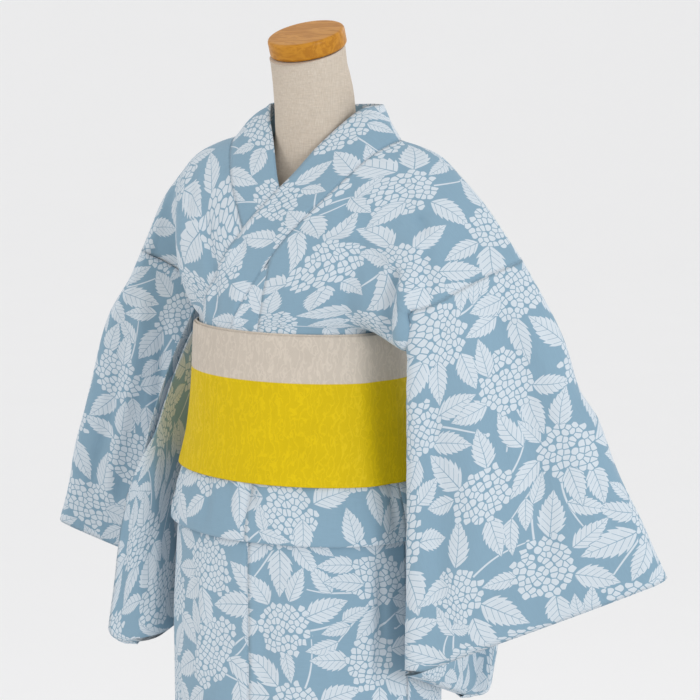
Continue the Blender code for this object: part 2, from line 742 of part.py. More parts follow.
body_panel("body_left", 1)
body_panel("body_right", -1)
okumi("okumi_left", 1)
okumi("okumi_right", -1)
collar("collar")
sleeve("sleeve_left", 1)
sleeve("sleeve_right", -1)
obi_wrap("obi_inner_wrap", 0.0, 0.0014, OBI_BOTTOM + 0.002, OBI_TOP + 0.002, OBI_IVORY)
obi_wrap("obi_outer_wrap", 0.0021, 0.0014, OBI_BOTTOM, OBI_TOP, OBI_YELLOW)
box_loop("obi_fold", KNOT_CENTRE, (0.105, 0.0185, 0.060), 0.0016, "z", OBI_YELLOW)
box_loop("obi_knot", KNOT_CENTRE, (0.066, 0.022, 0.030), 0.0016, "x", OBI_YELLOW)
dress_form()
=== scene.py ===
import math
import random

import bpy
import numpy as np
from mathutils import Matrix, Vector


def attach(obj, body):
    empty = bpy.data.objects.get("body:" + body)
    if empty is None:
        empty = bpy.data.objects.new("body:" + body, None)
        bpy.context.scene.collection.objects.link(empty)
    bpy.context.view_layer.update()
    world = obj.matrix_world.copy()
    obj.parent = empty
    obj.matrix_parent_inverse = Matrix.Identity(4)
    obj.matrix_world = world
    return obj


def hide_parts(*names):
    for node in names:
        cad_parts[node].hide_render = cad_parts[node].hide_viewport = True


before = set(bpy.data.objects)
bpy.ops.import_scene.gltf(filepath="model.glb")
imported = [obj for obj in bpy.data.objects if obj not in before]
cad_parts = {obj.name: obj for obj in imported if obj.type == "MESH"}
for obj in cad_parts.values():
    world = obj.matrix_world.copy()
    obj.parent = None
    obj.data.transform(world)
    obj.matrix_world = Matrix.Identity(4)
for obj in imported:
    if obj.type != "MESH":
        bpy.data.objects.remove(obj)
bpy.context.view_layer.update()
print("frame loaded")

# All lengths are in metres. +X is the wearer's left, -Y is the front and the floor is at height 0.


def deselectAll():
    bpy.ops.object.select_all(action="DESELECT")


def makeActive(piece):
    deselectAll()
    piece.select_set(True)
    bpy.context.view_layer.objects.active = piece


def setMode(mode):
    bpy.ops.object.mode_set(mode=mode)


def extrudeBy(x, y, z):
    bpy.ops.mesh.extrude_region_move(TRANSFORM_OT_translate={"value": (x, y, z)})


def smooth(x, xs, ys):
    # a smooth curve through a table, which never overshoots it
    xs, ys = np.asarray(xs, float), np.asarray(ys, float)
    gap = np.diff(xs)
    slope = np.diff(ys) / gap
    tangent = np.zeros_like(ys)
    tangent[0], tangent[-1] = slope[0], slope[-1]
    for i in range(1, len(xs) - 1):
        if slope[i - 1] * slope[i] > 0:
            a, b = 2 * gap[i] + gap[i - 1], gap[i] + 2 * gap[i - 1]
            tangent[i] = (a + b) / (a / slope[i - 1] + b / slope[i])
    x = np.clip(x, xs[0], xs[-1])
    i = np.clip(np.searchsorted(xs, x, side="right") - 1, 0, len(xs) - 2)
    f = (x - xs[i]) / gap[i]
    start = (1 + 2 * f) * (1 - f) ** 2 * ys[i] + f * (1 - f) ** 2 * gap[i] * tangent[i]
    end = f * f * (3 - 2 * f) * ys[i + 1] + f * f * (f - 1) * gap[i] * tangent[i + 1]
    return start + end


def fromTable(rows, x, column, key=0):
    rows = sorted(rows, key=lambda row: row[key])
    return smooth(x, [row[key] for row in rows], [row[column] for row in rows])


def ease(value, low, high):
    f = np.clip((np.asarray(value, float) - low) / (high - low), 0.0, 1.0)
    return f * f * (3 - 2 * f)


camera = {"turn": 35.0, "away": 2.60, "height": 1.49, "pitch": 8.73, "yaw": 1.267, "lens": 118.6}


def addCamera():
    turn, pitch, yaw = (math.radians(camera[name]) for name in ("turn", "pitch", "yaw"))
    ahead = Vector((-math.sin(turn), math.cos(turn), 0))
    right = Vector((math.cos(turn), math.sin(turn), 0))
    flat = ahead * math.cos(yaw) + right * math.sin(yaw)
    look = flat * math.cos(pitch) - Vector((0, 0, math.sin(pitch)))
    data = bpy.data.cameras.new("camera")
    data.lens = camera["lens"]
    data.clip_end = 100
    made = bpy.data.objects.new("camera", data)
    made.location = -ahead * camera["away"] + Vector((0, 0, camera["height"]))
    made.rotation_euler = look.to_track_quat("-Z", "Y").to_euler()
    bpy.context.scene.collection.objects.link(made)
    bpy.context.scene.camera = made


addCamera()
print("camera set")

studio = {
    "floorRadius": 9.0,
    "wallRadius": 12.0,
    "wallHeight": 5.0,
    "corners": 96,
    "bendSteps": 10,  # from the floor up to the wall
    "paper": (0.38, 0.38, 0.384),
    "paperGlow": 0.51,  # the lit paper's own glow, which fills the shadows from all round
    "world": (0.95, 0.97, 1.0),
    "worldPower": 0.15,
    "spread": 95,  # of every light's cone, in degrees
    "lights": (
        # name, place, aim, size, watts, colour
        ("keyLight", (-3.0, -2.4, 3.0), (0, 0, 1.15), 1.8, 6, (1.0, 0.98, 0.95)),
        ("fillLight", (4.4, -2.1, 1.9), (0.2, 0, 0.9), 2.0, 20, (0.96, 0.98, 1.0)),
        ("backLight", (0.5, 3.6, 3.0), (0, 0, 1.1), 2.6, 8, (1.0, 1.0, 1.0)),
    ),
}


def addStudio():
    # floor and wall in one bowl, so no line shows behind the robe
    deselectAll()
    corners, reach, low = studio["corners"], studio["floorRadius"], 0.0
    bpy.ops.mesh.primitive_circle_add(vertices=corners, radius=reach, fill_type="NGON")
    bowl = bpy.context.object
    bowl.name = "studioBowl"
    setMode("EDIT")
    bpy.ops.mesh.select_all(action="SELECT")
    rise = studio["wallRadius"] - studio["floorRadius"]
    bpy.ops.mesh.select_mode(type="EDGE")
    bpy.ops.mesh.select_all(action="DESELECT")
    bpy.ops.mesh.select_non_manifold()
    for step in range(1, studio["bendSteps"] + 1):
        turn = math.radians(90 / studio["bendSteps"] * step)
        nextReach = studio["floorRadius"] + rise * math.sin(turn)
        nextLow = rise * (1 - math.cos(turn))
        extrudeBy(0, 0, nextLow - low)
        grow = nextReach / reach
        bpy.ops.transform.resize(value=(grow, grow, 1))
        reach, low = nextReach, nextLow
    extrudeBy(0, 0, studio["wallHeight"] - low)
    setMode("OBJECT")
    bpy.ops.object.shade_smooth_by_angle(angle=math.radians(40))
    paper, tree, shader = newMaterial("studioPaper")
    grain = put(tree, "ShaderNodeTexNoise", {"Vector": objectPlace(tree), "Scale": 3.0, "Detail": 4.0})
    tone = mapTo(tree, grain.outputs["Fac"], 0.3, 0.7, 0.985, 1.0)
    colour = vectorCalc(tree, "SCALE", studio["paper"], scale=tone)
    tree.links.new(colour, shader.inputs["Base Color"])
    setSockets(shader, {"Roughness": 0.95, "Specular IOR Level": 0.1})
    setSockets(shader, {"Emission Color": (1.0, 1.0, 1.0, 1), "Emission Strength": studio["paperGlow"]})
    bowl.data.materials.append(paper)
    world = bpy.data.worlds.new("studioWorld")
    world.use_nodes = True
    sky = world.node_tree.nodes["Background"]
    sky.inputs["Color"].default_value = (*studio["world"], 1)
    sky.inputs["Strength"].default_value = studio["worldPower"]
    bpy.context.scene.world = world
    for name, place, aim, size, watts, colour in studio["lights"]:
        data = bpy.data.lights.new(name, "AREA")
        data.shape = "DISK"
        data.size = size
        data.spread = math.radians(studio["spread"])
        data.energy = watts
        data.color = colour
        made = bpy.data.objects.new(name, data)
        made.location = place
        made.rotation_euler = (Vector(aim) - Vector(place)).to_track_quat("-Z", "Y").to_euler()
        made.visible_camera = False
        bpy.context.scene.collection.objects.link(made)
    bpy.context.scene.view_settings.view_transform = "Standard"


def feed(tree, socket, value):
    if isinstance(value, bpy.types.NodeSocket):
        tree.links.new(value, socket)
    else:
        socket.default_value = value


def put(tree, kind, inputs=(), **settings):
    made = tree.nodes.new(kind)
    for name, value in settings.items():
        setattr(made, name, value)
    for key, value in dict(inputs).items():
        feed(tree, made.inputs[key], value)
    return made


def calc(tree, operation, *values):
    made = tree.nodes.new("ShaderNodeMath")
    made.operation = operation
    for socket, value in zip(made.inputs, values):
        feed(tree, socket, value)
    return made.outputs[0]


def times(tree, a, b):
    return calc(tree, "MULTIPLY", a, b)


def plus(tree, a, b):
    return calc(tree, "ADD", a, b)


def minus(tree, a, b):
    return calc(tree, "SUBTRACT", a, b)


def vectorCalc(tree, operation, a, b=None, scale=None):
    made = tree.nodes.new("ShaderNodeVectorMath")
    made.operation = operation
    feed(tree, made.inputs[0], a)
    if b is not None:
        feed(tree, made.inputs[1], b)
    if scale is not None:
        feed(tree, made.inputs["Scale"], scale)
    return made.outputs["Value" if operation in ("LENGTH", "DOT_PRODUCT") else "Vector"]


def mapTo(tree, value, low, high, newLow, newHigh):
    inputs = {"Value": value, "From Min": low, "From Max": high, "To Min": newLow, "To Max": newHigh}
    return put(tree, "ShaderNodeMapRange", inputs).outputs["Result"]


def noise(tree, place, stretch, detail, **more):
    # noise with a scale of its own along each axis
    inputs = {"Vector": vectorCalc(tree, "MULTIPLY", place, stretch), "Scale": 1.0, "Detail": detail}
    return put(tree, "ShaderNodeTexNoise", {**inputs, **more}).outputs["Fac"]


def awayFromHalf(tree, value):
    # 0 in the middle of each repeat and 0.5 at its ends
    return calc(tree, "ABSOLUTE", minus(tree, calc(tree, "FRACT", value), 0.5))


def mixColour(tree, share, a, b):
    made = put(tree, "ShaderNodeMix", data_type="RGBA")
    for socket, value in zip((made.inputs[0], made.inputs[6], made.inputs[7]), (share, a, b)):
        feed(tree, socket, value)
    return made.outputs[2]


def split(tree, vector):
    return put(tree, "ShaderNodeSeparateXYZ", {0: vector}).outputs


def join(tree, x, y, z):
    return put(tree, "ShaderNodeCombineXYZ", {0: x, 1: y, 2: z}).outputs[0]


def objectPlace(tree):
    return put(tree, "ShaderNodeTexCoord").outputs["Object"]


def flatPlace(tree):
    return put(tree, "ShaderNodeUVMap", uv_map="flat").outputs["UV"]


def newGroup(name, inputs, outputs):
    tree = bpy.data.node_groups.new(name, "ShaderNodeTree")
    for label, kind in inputs:
        tree.interface.new_socket(name=label, in_out="INPUT", socket_type="NodeSocket" + kind)
    for label, kind in outputs:
        tree.interface.new_socket(name=label, in_out="OUTPUT", socket_type="NodeSocket" + kind)
    return tree, tree.nodes.new("NodeGroupInput").outputs, tree.nodes.new("NodeGroupOutput").inputs


def useGroup(tree, group, inputs):
    made = tree.nodes.new("ShaderNodeGroup")
    made.node_tree = group
    for key, value in inputs.items():
        feed(tree, made.inputs[key], value)
    return made.outputs


def newMaterial(name):
    made = bpy.data.materials.new(name)
    made.use_nodes = True
    return made, made.node_tree, made.node_tree.nodes["Principled BSDF"]


def setSockets(shader, values):
    for name, value in values.items():
        shader.inputs[name].default_value = value


def addBump(tree, shader, height, strength, distance):
    made = put(tree, "ShaderNodeBump", {"Height": height, "Strength": strength, "Distance": distance})
    tree.links.new(made.outputs[0], shader.inputs["Normal"])


addStudio()
print("studio ready")

# The body's line and the layers of cloth over it.
robe = {
    "wall": 0.0009,  # thickness of the cotton
    "layer": 0.0022,  # from one layer of cloth to the next
    "bodyY": 0.013,
    "waist": 1.129,
    "hem": 0.075,
    "tuckFold": 0.896,
    "tuckTie": 0.985,
    "rightTuckUp": (0.004, 0.006),  # how much higher the right front's fold and upper turn lie
    "sideSeam": 76.0,  # this and the next three are angles from the front, in degrees
    "evenFrom": 55.0,  # from here to the side seam, a front comes down to the back's layers
    "okumiSeam": 4.0,
    "overlapEdge": -52.0,
    "ridgeY": 0.035,
    "okumiTop": 0.72,  # where the overlap begins, from ridge (0) to waist (1)
    "okumiFrom": 0.755,  # its first row of points
    "seamEnd": 0.62,  # where the armhole's seam ends, on the same scale
    "seamGap": 0.003,  # a seam's half gap as an angle round the body
    "seamShare": 0.00005,  # and as a share of the shoulder
    "bodyLine": (
        # height, half width, half depth
        (0.05, 0.150, 0.118),
        (0.40, 0.158, 0.126),
        (0.70, 0.163, 0.129),
        (0.90, 0.156, 0.124),
        (0.965, 0.139, 0.107),
        (1.00, 0.130, 0.101),
        (1.065, 0.122, 0.0965),
        (1.13, 0.119, 0.094),
    ),
    # each run of a panel, in layers counted outwards from the body
    "runs": {
        "leftFront": {"under": 2, "middle": 3, "over": 6},
        "rightFront": {"under": 1, "middle": 4, "over": 5},
        "back": {"under": 1, "middle": 2, "over": 3},
    },
    "ridge": {
        # out from the neck, height
        1: ((0.000, 1.345), (0.060, 1.343), (0.115, 1.331), (0.155, 1.320), (0.176, 1.307),
            (0.213, 1.275), (0.241, 1.239), (0.263, 1.211)),
        -1: ((0.000, 1.345), (0.060, 1.343), (0.104, 1.331), (0.148, 1.317), (0.172, 1.304),
             (0.195, 1.282), (0.225, 1.246), (0.256, 1.189)),
    },
    "frontDrape": (
        # share of the shoulder, how the cloth leaves the ridge, how it comes to the waist
        (0.0, 0.000, -0.055, -0.010, 0.000, 0.008, 0.080),
        (0.5, 0.000, -0.060, -0.012, 0.020, -0.012, 0.075),
        (0.8, 0.005, -0.055, -0.020, 0.045, -0.030, 0.055),
        (1.0, 0.000, -0.045, -0.020, 0.050, -0.030, 0.040),
    ),
    "backDrape": (
        (0.0, 0.000, 0.070, -0.004, 0.000, 0.014, 0.100),
        (0.5, 0.000, 0.062, -0.008, 0.015, 0.020, 0.090),
        (0.8, 0.003, 0.050, -0.015, 0.030, 0.030, 0.060),
        (1.0, 0.000, 0.040, -0.020, 0.040, 0.020, 0.040),
    ),
    "armholes": {
        # (side, face): share of the sleeve's edge that is sewn, then where the free edge hangs
        (1, 1): (0.40, 0.215, -0.085, 1.085),
        (1, -1): (0.15, 0.190, 0.060, 1.140),
        (-1, 1): (0.36, 0.175, 0.030, 1.120),
        (-1, -1): (0.12, 0.190, 0.075, 1.140),
    },
}


def layerAt(middle, side, angle):
    even = ease(np.abs(angle), robe["evenFrom"], robe["sideSeam"] - 4.0)
    return robe["layer"] * (middle + (side - middle) * even)


def overLayer(panel, angle):
    return layerAt(robe["runs"][panel]["over"], robe["runs"]["back"]["over"], angle)


def ring(angle, height, lift):
    angle = np.radians(np.asarray(angle, float))
    height = np.broadcast_to(np.asarray(height, float), angle.shape)
    width = fromTable(robe["bodyLine"], height, 1) + lift
    depth = fromTable(robe["bodyLine"], height, 2) + lift
    return np.stack([width * np.sin(angle), robe["bodyY"] - depth * np.cos(angle), height], -1)


# The sleeves; side 1 is the left and -1 the right.
sleeves = {
    "width": 0.37,
    "height": 0.49,
    "cuffOpening": 0.23,
    "corner": 0.05,
    "armHalf": (0.022, 0.018),  # half the hollow at the armhole and at the wrist
    "bagHalf": 0.006,
    "columns": 62,
    "fold": 0.004,  # how far the folded bottom hangs below the two faces
    1: {
        "ridge": ((0.263, 0.035, 1.211), (0.297, 0.034, 1.166), (0.322, 0.033, 1.126), (0.343, 0.032, 1.073),
                  (0.365, 0.031, 1.046), (0.392, 0.031, 0.986), (0.417, 0.030, 0.945), (0.453, 0.030, 0.882)),
        "plan": ((0.196, -0.082, 0.012), (0.190, 0.075, 0.020)),
        "ends": ((0.235, 0.085), (0.205, 0.078)),
        "drop": ((0.095, 0.235), (0.195, 0.0)),
    },
    -1: {
        "ridge": ((0.256, 0.035, 1.189), (0.273, 0.036, 1.156), (0.304, 0.038, 1.112), (0.322, 0.041, 1.077),
                  (0.355, 0.047, 0.984), (0.378, 0.052, 0.930), (0.392, 0.056, 0.880), (0.410, 0.060, 0.834)),
        "plan": ((0.176, 0.078, 0.016), (0.180, -0.055, 0.018)),
        "ends": ((0.205, -0.060), (0.240, -0.058)),
        "drop": ((0.110, 0.170), (0.115, 0.0)),
    },
}


def roundedPath(corners, radii):
    corners = [np.array(corner, float) for corner in corners]
    points = [corners[0]]
    for before, here, after, radius in zip(corners, corners[1:], corners[2:], radii):
        back, ahead = before - here, after - here
        backLength, aheadLength = np.linalg.norm(back), np.linalg.norm(ahead)
        half = math.acos(np.clip(back @ ahead / backLength / aheadLength, -1, 1)) / 2
        reach = min(radius / math.tan(half), 0.48 * backLength, 0.48 * aheadLength)
        start, end = here + back / backLength * reach, here + ahead / aheadLength * reach
        for f in np.linspace(0, 1, 17):
            points.append((1 - f) ** 2 * start + 2 * f * (1 - f) * here + f * f * end)
    return np.array(points + [corners[-1]])


def sleevePoints(side, a, b, face):
    # a from armhole (0) to wrist (1); b from ridge (0) to bottom (1); face 1 is the front layer
    shape = sleeves[side]
    b = np.asarray(b, float)
    ridge = np.array(shape["ridge"])
    along = np.concatenate([[0], np.cumsum(np.hypot(np.diff(ridge[:, 0]), np.diff(ridge[:, 2])))])
    out, back, top = (float(smooth(a, along / along[-1], ridge[:, i])) for i in range(3))
    end = [p + (q - p) * a for p, q in zip(*shape["ends"])]
    corners = [(out, back), *(row[:2] for row in shape["plan"]), end]
    path = roundedPath(corners, [row[2] for row in shape["plan"]])
    length = np.concatenate([[0], np.cumsum(np.linalg.norm(np.diff(path, axis=0), axis=1))])
    where = b * length[-1]

    def onPath(place):
        return np.stack([np.interp(place, length, path[:, i]) for i in (0, 1)], -1)

    heading = onPath(where + 0.004) - onPath(where - 0.004)
    heading = heading / np.linalg.norm(heading, axis=-1, keepdims=True)
    steady, growing = (p + (q - p) * a for p, q in zip(*shape["drop"]))
    wide = sleeves["armHalf"][0] + (sleeves["armHalf"][1] - sleeves["armHalf"][0]) * a
    down = b * sleeves["height"]
    spread = wide + (sleeves["bagHalf"] - wide) * ease(down, 0.03, 0.30)
    spread = spread * np.sqrt(np.clip(1 - np.clip(1 - down / wide, 0, 1) ** 2, 0, 1))
    plan = onPath(where) + np.stack([-heading[:, 1], heading[:, 0]], -1) * spread[:, None] * face
    return np.stack([side * plan[:, 0], plan[:, 1], top - steady * b - growing * b**3], -1)


def bezier(a, b, c, d, t):
    return (1 - t) ** 3 * a + 3 * t * (1 - t) ** 2 * b + 3 * t * t * (1 - t) * c + t**3 * d


def armholeEdge(side, t, face, waist):
    share, *hang = robe["armholes"][(side, face)]
    if t <= robe["seamEnd"]:
        return sleevePoints(side, 0.0, [t / robe["seamEnd"] * share], face)[0]
    last = sleevePoints(side, 0.0, [share], face)[0]
    hang = np.array([side * hang[0], hang[1], hang[2]])
    f = (t - robe["seamEnd"]) / (1 - robe["seamEnd"])
    return (1 - f) ** 2 * last + 2 * f * (1 - f) * hang + f * f * waist


def bodice(panel, s, t):
    # s from the middle (0) to an armhole (1 or -1), t from the ridge (0) to the waist (1)
    s = np.asarray(s, float)
    t = np.broadcast_to(np.asarray(t, float), s.shape)[:, None]
    size, sign = np.abs(s), np.copysign(1.0, s)
    rows = robe["backDrape"] if panel == "back" else robe["frontDrape"]
    side = robe["sideSeam"]
    angle = 180 - (180 - side) * size if panel == "back" else side * size

    def drape(size, sign, angle, t):
        waist = ring(angle * sign, robe["waist"], overLayer(panel, angle))
        height = np.where(
            sign > 0,
            fromTable(robe["ridge"][1], size * robe["ridge"][1][-1][0], 1),
            fromTable(robe["ridge"][-1], size * robe["ridge"][-1][-1][0], 1),
        )
        out = size * np.where(sign > 0, robe["ridge"][1][-1][0], robe["ridge"][-1][-1][0])
        ridge = np.stack([sign * out, np.full_like(out, robe["ridgeY"]), height], -1)
        off = np.stack([fromTable(rows, size, i) for i in (1, 2, 3)], -1)
        into = np.stack([fromTable(rows, size, i) for i in (4, 5, 6)], -1)
        turn = np.stack([sign, np.ones_like(sign), np.ones_like(sign)], -1)
        return bezier(ridge, ridge + off * turn, waist + into * turn, waist, t), waist

    found, _ = drape(size, sign, angle, t)
    for way in (1, -1):
        pull = ease(size, 0.60, 1.0) * (sign == way)
        if pull.any():
            outer = t[np.argmax(pull)]
            rim, waist = drape(np.ones(1), np.full(1, float(way)), np.full(1, side), outer)
            goal = armholeEdge(way, float(outer[0]), -1 if panel == "back" else 1, waist[0])
            found = found + pull[:, None] * (goal - rim[0])
    if panel == "rightFront":
        lifted = np.minimum(1.0, t / 0.15) - 3 * t * t * (1 - t) - t**3
        found = found + lifted * np.array([0.0, robe["layer"], 0.0])
    return found


def lowerRows(panel, step):
    # height, layer and side layer, down the face of the tuck, up under the obi, and to the hem
    runs, side = robe["runs"][panel], robe["runs"]["back"]
    fold, tie = robe["tuckFold"], robe["tuckTie"]
    if panel == "rightFront":
        fold, tie = fold + robe["rightTuckUp"][0], tie + robe["rightTuckUp"][1]

    def straight(start, end, pace, run):
        count = max(1, round(abs(end - start) / pace))
        return [(h, runs[run], side[run]) for h in np.linspace(start, end, count + 1)]

    def turned(height, first, second, way):
        radius = robe["layer"] * abs(runs[second] - runs[first]) / 2
        made = []
        for degrees in (30, 60, 90, 120, 150):
            f = (1 - math.cos(math.radians(degrees))) / 2
            place = height + way * radius * math.sin(math.radians(degrees))
            made.append((place, *(row[first] + (row[second] - row[first]) * f for row in (runs, side))))
        return made

    rows = straight(robe["waist"], 0.965, 0.012, "over")[1:]
    rows += straight(0.965, fold, step, "over")[1:]
    rows += turned(fold, "over", "middle", -1)
    rows += straight(fold, tie, 0.015, "middle")
    rows += turned(tie, "middle", "under", 1)
    rows += straight(tie, 0.90, 0.014, "under")
    rows += straight(0.90, robe["hem"], step, "under")[1:]
    return rows


def lowerLine(angles, row):
    return ring(angles, row[0], layerAt(row[1], row[2], angles))


neckband = {
    "wall": 0.0013,
    "napeSeam": 0.003,  # the collar's seam below the back's edge
    "napeBow": (0.0, 0.0045, 0.0045),  # how the band stands out round the nape
    "front": (
        # t from ridge to obi, seam, free edge, rise
        (0.00, 0.437, 0.250, 0.024),
        (0.12, 0.410, 0.200, 0.016),
        (0.25, 0.370, 0.120, 0.006),
        (0.40, 0.310, 0.030, 0.000),
        (0.70, 0.080, -0.230, 0.000),
        (1.00, -0.158, -0.510, 0.000),
    ),
    "nape": (
        # s, t, free edge
        (0.437, 0.000, 0.0660, 0.035, 1.367),
        (0.330, 0.150, 0.0700, 0.062, 1.368),
        (0.170, 0.255, 0.0450, 0.090, 1.368),
        (0.000, 0.285, 0.0000, 0.102, 1.366),
    ),
}


def seamAt(t, column=1):
    return float(fromTable(neckband["front"], t, column))


def innerEdge(t):
    # a front width's inner edge: the collar's seam, then the overlap's
    top = robe["okumiTop"]
    if t <= top:
        return seamAt(t)
    return seamAt(top) + (robe["okumiSeam"] / robe["sideSeam"] - seamAt(top)) * (t - top) / (1 - top)


def overlapEdge(height):
    start = seamAt(1.0) * robe["sideSeam"]
    return start + (robe["overlapEdge"] - start) * float(ease(1.122 - height, 0.0, 0.13))


